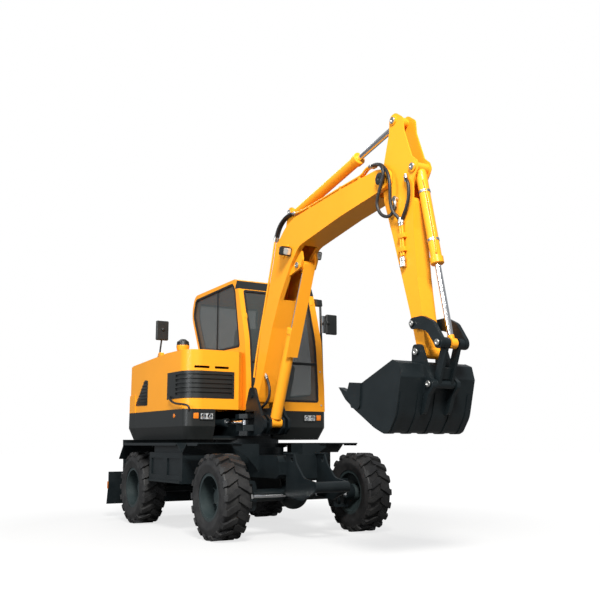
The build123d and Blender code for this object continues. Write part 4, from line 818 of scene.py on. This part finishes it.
# hoses over the boom's bend and pipes down its back
bend_couplings = bmesh.new()
for index, y in enumerate(pipe_rows):
    coupling(bend_couplings, (1.505, y, 3.236), (1.60, y, 3.228), 0.0125)
    coupling(bend_couplings, (1.120, y, 3.060), (1.105, y, 3.00), 0.0125)
    line_piece(
        "bend_hose_%d" % (index + 1),
        [(1.500, y, 3.237), (1.440, y, 3.252), (1.330, y, 3.245), (1.215, y, 3.195), (1.150, y, 3.125),
         (1.122, y, 3.065)],
        0.0145, "boom", hose_rubber,
    )
    line_piece(
        "back_pipe_%d" % (index + 1),
        [
            (1.112, y, 3.03), (1.085, y, 2.93), (1.040, y, 2.78), (0.905, y, 2.38), (0.765, y, 1.98),
            (0.690, y, 1.72), (0.672, y, 1.62),
        ],
        0.0105, "boom", body_enamel,
    )
settle("bend_couplings", bend_couplings, "boom", zinc)

# hoses from the boom's foot down into the swing post
foot_couplings = bmesh.new()
for index, y in enumerate((-0.236, -0.058)):
    coupling(foot_couplings, (0.892, y, 1.610), (0.860, y, 1.66), 0.0125)
    hose = line_piece(
        "foot_hose_%d" % (index + 1),
        [(0.885, y, 1.622), (0.925, y, 1.565), (0.965, y, 1.480), (0.950, y, 1.390), (0.880, y, 1.330),
         (0.800, y, 1.300)],
        0.0145, None, hose_rubber,
    )
    crossing(hose)
settle("foot_couplings", foot_couplings, "boom", zinc)

# feed pipe along the bucket cylinder's barrel
barrel_top, barrel_end = Vector((3.350, middle_y, 3.200)), Vector((3.673, middle_y, 1.686))
down = (barrel_end - barrel_top).normalized()
outward = Vector((-down.z, 0, down.x))
feed_line = barrel_top + outward * 0.058 + Vector((0, -0.030, 0))
feed = [feed_line + down * at for at in (0.14, 0.20, 0.50, 0.76, 0.80)]
feed[0] -= outward * 0.016
feed[-1] -= outward * 0.016
line_piece("bucket_cylinder_pipe", feed, 0.008, "bucket_barrel", body_enamel)
bands = bmesh.new()
for at in (0.22, 0.66):
    add_turned(
        bands, barrel_top + down * at, barrel_end,
        [(0, 0.044), (0, 0.050), (0.022, 0.050), (0.022, 0.044)], 32,
    )
settle("bucket_cylinder_bands", bands, "bucket_barrel", zinc)


# ---------------------------------------------------------------- work lamps
# Two black plastic lamps under the boom's bend, on an orange bracket that is
# folded from sheet and bolted through the boom's sides.
clear_lens = finish(
    "clear lens", (0.80, 0.82, 0.80), 0.10, metallic=0.6, coat=0.5, dust=0.0, low_dust=0.0, patch=40,
    grain=160, tone=0.3, bump=0.3, depth=0.001,
)
lamp_places = [Vector((1.425, middle_y + way * 0.185, 2.850)) for way in (-1, 1)]
square = ((-1, -1), (1, -1), (1, 1), (-1, 1))
housings, lenses, brackets = bmesh.new(), bmesh.new(), bmesh.new()
for place, way in zip(lamp_places, (-1, 1)):
    front = place + Vector((0.045, 0, -0.012))
    corners = [front + Vector((0.012 * z, 0.052 * y, 0.042 * z)) for y, z in square]
    add_slab(housings, corners, (-0.075, 0, 0.018), 0.016, 0.006)
    glass = [front + Vector((0.001 + 0.009 * z, 0.040 * y, 0.031 * z)) for y, z in square]
    add_slab(lenses, glass, (0.005, 0, -0.001), 0.010, 0.001)
    side = middle_y + way * 0.127
    add_slab(brackets, [(1.30, side, 2.80), (1.42, side, 2.89), (1.42, side, 2.93), (1.27, side, 2.93),
                        (1.22, side, 2.86)], (0, way * 0.008, 0), 0.012, 0.002)
    add_slab(brackets, [(1.34, side, 2.902), (1.43, side, 2.902), (1.43, place.y + way * 0.03, 2.902),
                        (1.34, place.y + way * 0.03, 2.902)], (0, 0, 0.008), 0.010, 0.002)
settle("work_lamp_housings", housings, "boom", black_moulding)
settle("work_lamp_lenses", lenses, "boom", clear_lens)
settle("work_lamp_bracket", brackets, "boom", body_enamel)


# ---------------------------------------------------------------- head lamps and indicators
# Each square head lamp holds two round reflectors behind its lens, in a black
# bezel. Amber indicators stand beside them, and round reflectors on the guards.
amber = finish(
    "amber lens", (0.85, 0.22, 0.01), 0.16, coat=0.6, dust=0.0, low_dust=0.0, patch=40, grain=220,
    tone=0.25, bump=0.3, depth=0.0008,
)
lamp_low, lamp_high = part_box("front_lamps")
lamp_face = lamp_high.x
lamp_mid_z = (lamp_low.z + lamp_high.z) / 2
bezels, dishes, ambers = bmesh.new(), bmesh.new(), bmesh.new()
for y, outer in ((lamp_low.y + 0.075, -1), (lamp_high.y - 0.075, 1)):
    ring = strip_round(
        [(lamp_face, y - 0.082, lamp_mid_z - 0.042), (lamp_face, y + 0.082, lamp_mid_z - 0.042),
         (lamp_face, y + 0.082, lamp_mid_z + 0.042), (lamp_face, y - 0.082, lamp_mid_z + 0.042)],
        0.010, (0.006, 0, 0), 0.010,
    )
    join_in(bezels, ring)
    for half in (-1, 1):
        add_turned(
            dishes, (lamp_face + 0.0005, y + half * 0.036, lamp_mid_z),
            (1, y + half * 0.036, lamp_mid_z),
            [
                (0, 0), (0, 0.029), (0.004, 0.029), (0.004, 0.026), (0.0015, 0.016), (0.0012, 0.008),
                (0.004, 0.006), (0.0045, 0),
            ],
            28,
        )
    middle = y + outer * 0.124
    add_slab(
        ambers,
        [
            (0.3352, middle - 0.030, 1.184), (0.3352, middle + 0.030, 1.184),
            (0.3352, middle + 0.030, 1.246), (0.3352, middle - 0.030, 1.246),
        ],
        (0.006, 0, 0), 0.008, 0.002,
    )
add_turned(
    ambers, (0.03, -0.9052, 1.219), (0.03, -2, 1.219),
    [(0, 0), (0, 0.022), (0.004, 0.022), (0.006, 0.018), (0.006, 0)], 28,
)
add_turned(
    ambers, (0.03, 0.8852, 1.219), (0.03, 2, 1.219),
    [(0, 0), (0, 0.022), (0.004, 0.022), (0.006, 0.018), (0.006, 0)], 28,
)
settle("head_lamp_bezels", bezels, "upper", black_moulding)
settle("head_lamp_dishes", dishes, "upper", silvered)
settle("amber_lenses", ambers, "upper", amber)
blade_mark = bmesh.new()
blade_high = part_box("blade")[1]
for way in (-1, 1):
    y = way * (blade_high.y + 0.0005)
    add_slab(blade_mark, [(-1.925, y, 0.36), (-1.895, y, 0.36), (-1.895, y, 0.45), (-1.925, y, 0.45)],
             (0, way * 0.005, 0), 0.005, 0.001)
settle("blade_reflectors", blade_mark, "blade", amber)


# ---------------------------------------------------------------- hood fittings
# A black louvre in the hood's rear quarter, a bent grab tube below the grille,
# both fixed to the pressed hood.
hood_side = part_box("hood")[0].y
louvre = bmesh.new()
add_slab(
    louvre,
    [
        (-1.190, hood_side - 0.0005, 1.372), (-0.800, hood_side - 0.0005, 1.362),
        (-0.800, hood_side - 0.0005, 1.655), (-0.900, hood_side - 0.0005, 1.668),
    ],
    (0, -0.004, 0), 0.02, 0.0015,
)
for index in range(7):
    z = 1.395 + index * 0.038
    back = -1.150 + index * 0.037
    add_slab(louvre, [(back, hood_side - 0.004, z), (-0.822, hood_side - 0.004, z - 0.002),
                      (-0.822, hood_side - 0.011, z + 0.012), (back, hood_side - 0.011, z + 0.014)],
             (0, 0, 0.006), 0, 0.001)
settle("hood_louvre", louvre, "upper", black_moulding)
line_piece(
    "grab_tube",
    [(-0.103, -0.904, 1.432), (-0.095, -0.922, 1.425), (-0.02, -0.924, 1.380), (0.08, -0.924, 1.352),
     (0.20, -0.922, 1.342), (0.29, -0.912, 1.336), (0.338, -0.878, 1.320), (0.342, -0.866, 1.292),
     (0.334, -0.862, 1.272)],
    0.011, "upper", black_moulding,
)


# ---------------------------------------------------------------- driver's seat and wheel
# A sprung seat with a cushion and back of grey woven cloth over foam on a steel
# base, and a moulded steering wheel on its column.
seat_cloth = finish(
    "seat cloth", (0.045, 0.047, 0.050), 0.85, dust=0.05, low_dust=0.0, patch=8, grain=900, tone=0.25,
    bump=0.5, depth=0.0008, dust_colour=(0.10, 0.10, 0.10), specular=0.2,
)
seat_low, seat_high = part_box("seat")
seat_mid = (seat_low.y + seat_high.y) / 2


def cushion(name, centre, size, lean):
    """A crowned pad: a block with drawn-in corners, smoothed by subdivision."""
    bm = bmesh.new()
    bmesh.ops.create_cube(bm, size=1.0)
    bmesh.ops.subdivide_edges(bm, edges=bm.edges[:], cuts=4, use_grid_fill=True)
    bmesh.ops.smooth_vert(
        bm, verts=bm.verts[:], factor=0.35, use_axis_x=True, use_axis_y=True, use_axis_z=True,
    )
    for vert in bm.verts:
        crown = max(0.0, 1 - 3.2 * (vert.co.x ** 2 + vert.co.y ** 2))
        vert.co.z *= 0.86 + 0.22 * crown
    bmesh.ops.scale(bm, vec=size, verts=bm.verts[:])
    bmesh.ops.rotate(bm, cent=(0, 0, 0), matrix=Matrix.Rotation(lean, 3, "Y"), verts=bm.verts[:])
    bmesh.ops.translate(bm, vec=centre, verts=bm.verts[:])
    piece = settle(name, bm, "upper", seat_cloth, 180)
    smoother = piece.modifiers.new("smooth", "SUBSURF")
    smoother.levels = 1
    smoother.render_levels = 1
    return piece


seat_pad = cushion("seat_cushion", (-0.335, seat_mid, 1.700), (0.46, 0.44, 0.135), radians(-3))
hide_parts("seat")
cushion("seat_back", (-0.592, seat_mid, 2.030), (0.62, 0.43, 0.12), radians(-82))
base = bmesh.new()
add_slab(
    base,
    [
        (-0.555, seat_mid - 0.17, 1.325), (-0.145, seat_mid - 0.17, 1.325),
        (-0.165, seat_mid - 0.17, 1.62), (-0.515, seat_mid - 0.17, 1.62),
    ],
    (0, 0.34, 0), 0.02, 0.006,
)
settle("seat_base", base, "upper", black_moulding)
wheel = bmesh.new()
hub = Vector((-0.035, seat_mid, 1.955))
shaft = Vector((-0.42, 0, 0.91)).normalized()
across = shaft.cross(Vector((0, 1, 0))).normalized()
section = []
for index in range(8):
    turn = index * pi / 4
    spot = hub + shaft * 0.035 + across * 0.17 + (across * cos(turn) + shaft * sin(turn)) * 0.012
    section.append(wheel.verts.new(spot))
hoop = [wheel.edges.new((section[index], section[(index + 1) % 8])) for index in range(8)]
bmesh.ops.spin(wheel, geom=section + hoop, cent=hub + shaft * 0.035, axis=shaft, angle=2 * pi, steps=32,
               use_merge=True, dvec=(0, 0, 0))
for turn in (0, 2 * pi / 3, 4 * pi / 3):
    arm = Matrix.Rotation(turn, 3, shaft) @ across
    add_turned(
        wheel, hub + shaft * 0.028, hub + shaft * 0.035 + arm,
        [(0, 0), (0, 0.012), (0.162, 0.009), (0.162, 0)], 10,
    )
add_turned(
    wheel, hub, hub + shaft, [(-0.01, 0), (-0.01, 0.030), (0.035, 0.034), (0.045, 0.026), (0.045, 0)],
    20,
)
settle("steering_wheel", wheel, "upper", black_moulding)


# ---------------------------------------------------------------- two-tone castings and painted eyes
# The tail weight is black below the hood's line, the rod eyes and the rod's
# guard wear the boom's enamel, and the air intake has an orange body.
def repaint(name, material, test):
    """Some faces of a part in a second finish, chosen by where they lie."""
    mesh = nodes[name].data
    mesh.materials.append(material)
    for face in mesh.polygons:
        if test(face.center):
            face.material_index = len(mesh.materials) - 1


def from_line(point, start, end):
    """How far a point of the boom's plane lies from the line through two pins, seen from the side."""
    line = (end - start).normalized()
    apart = point - start
    return abs(apart.x * line.z - apart.z * line.x)


def near_pin(pin, reach):
    return lambda centre: hypot(centre.x - pin[0], centre.z - pin[1]) < reach


boom_foot, boom_eye = Vector((0.920, middle_y, 1.136)), Vector((1.532, middle_y, 2.695))
repaint("boom_rod", body_enamel, lambda centre: from_line(centre, boom_foot, boom_eye) > 0.034
        or (centre - boom_eye).length < 0.075)
repaint("arm_rod", body_enamel, near_pin((3.100, 3.690), 0.070))
repaint("bucket_rod", body_enamel, near_pin((3.673, 1.686), 0.078))
repaint("pre_cleaner", body_enamel, lambda centre: 1.95 < centre.z < 2.075)
repaint("cab_shell", black_moulding, lambda centre: centre.z > 2.72 and centre.x > 0.035)
two_tone = finish(
    "tail enamel", (0.90, 0.345, 0.016), 0.34, coat=0.05, dust=0.03, low_dust=0.08, patch=2.2,
    grain=260, tone=0.08, bump=0.08, depth=0.0006, dust_colour=(0.10, 0.09, 0.08), specular=0.24,
)
tree = two_tone.node_tree
tail_place = tree.nodes.new("ShaderNodeTexCoord")
tail_height = tree.nodes.new("ShaderNodeSeparateXYZ")
above = tree.nodes.new("ShaderNodeMath")
above.operation = "GREATER_THAN"
above.inputs[1].default_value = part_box("hood")[0].z
paint = tree.nodes.new("ShaderNodeMix")
paint.data_type = "RGBA"
paint.inputs["A"].default_value = (0.014, 0.016, 0.016, 1)
paint.inputs["B"].default_value = (0.90, 0.345, 0.016, 1)
tree.links.new(tail_place.outputs["Object"], tail_height.inputs[0])
tree.links.new(tail_height.outputs["Z"], above.inputs[0])
tree.links.new(above.outputs[0], paint.inputs["Factor"])
for node in tree.nodes:
    if node.bl_idname == "ShaderNodeGroup":
        tree.links.new(paint.outputs["Result"], node.inputs["Colour"])
dress(two_tone, "counterweight")
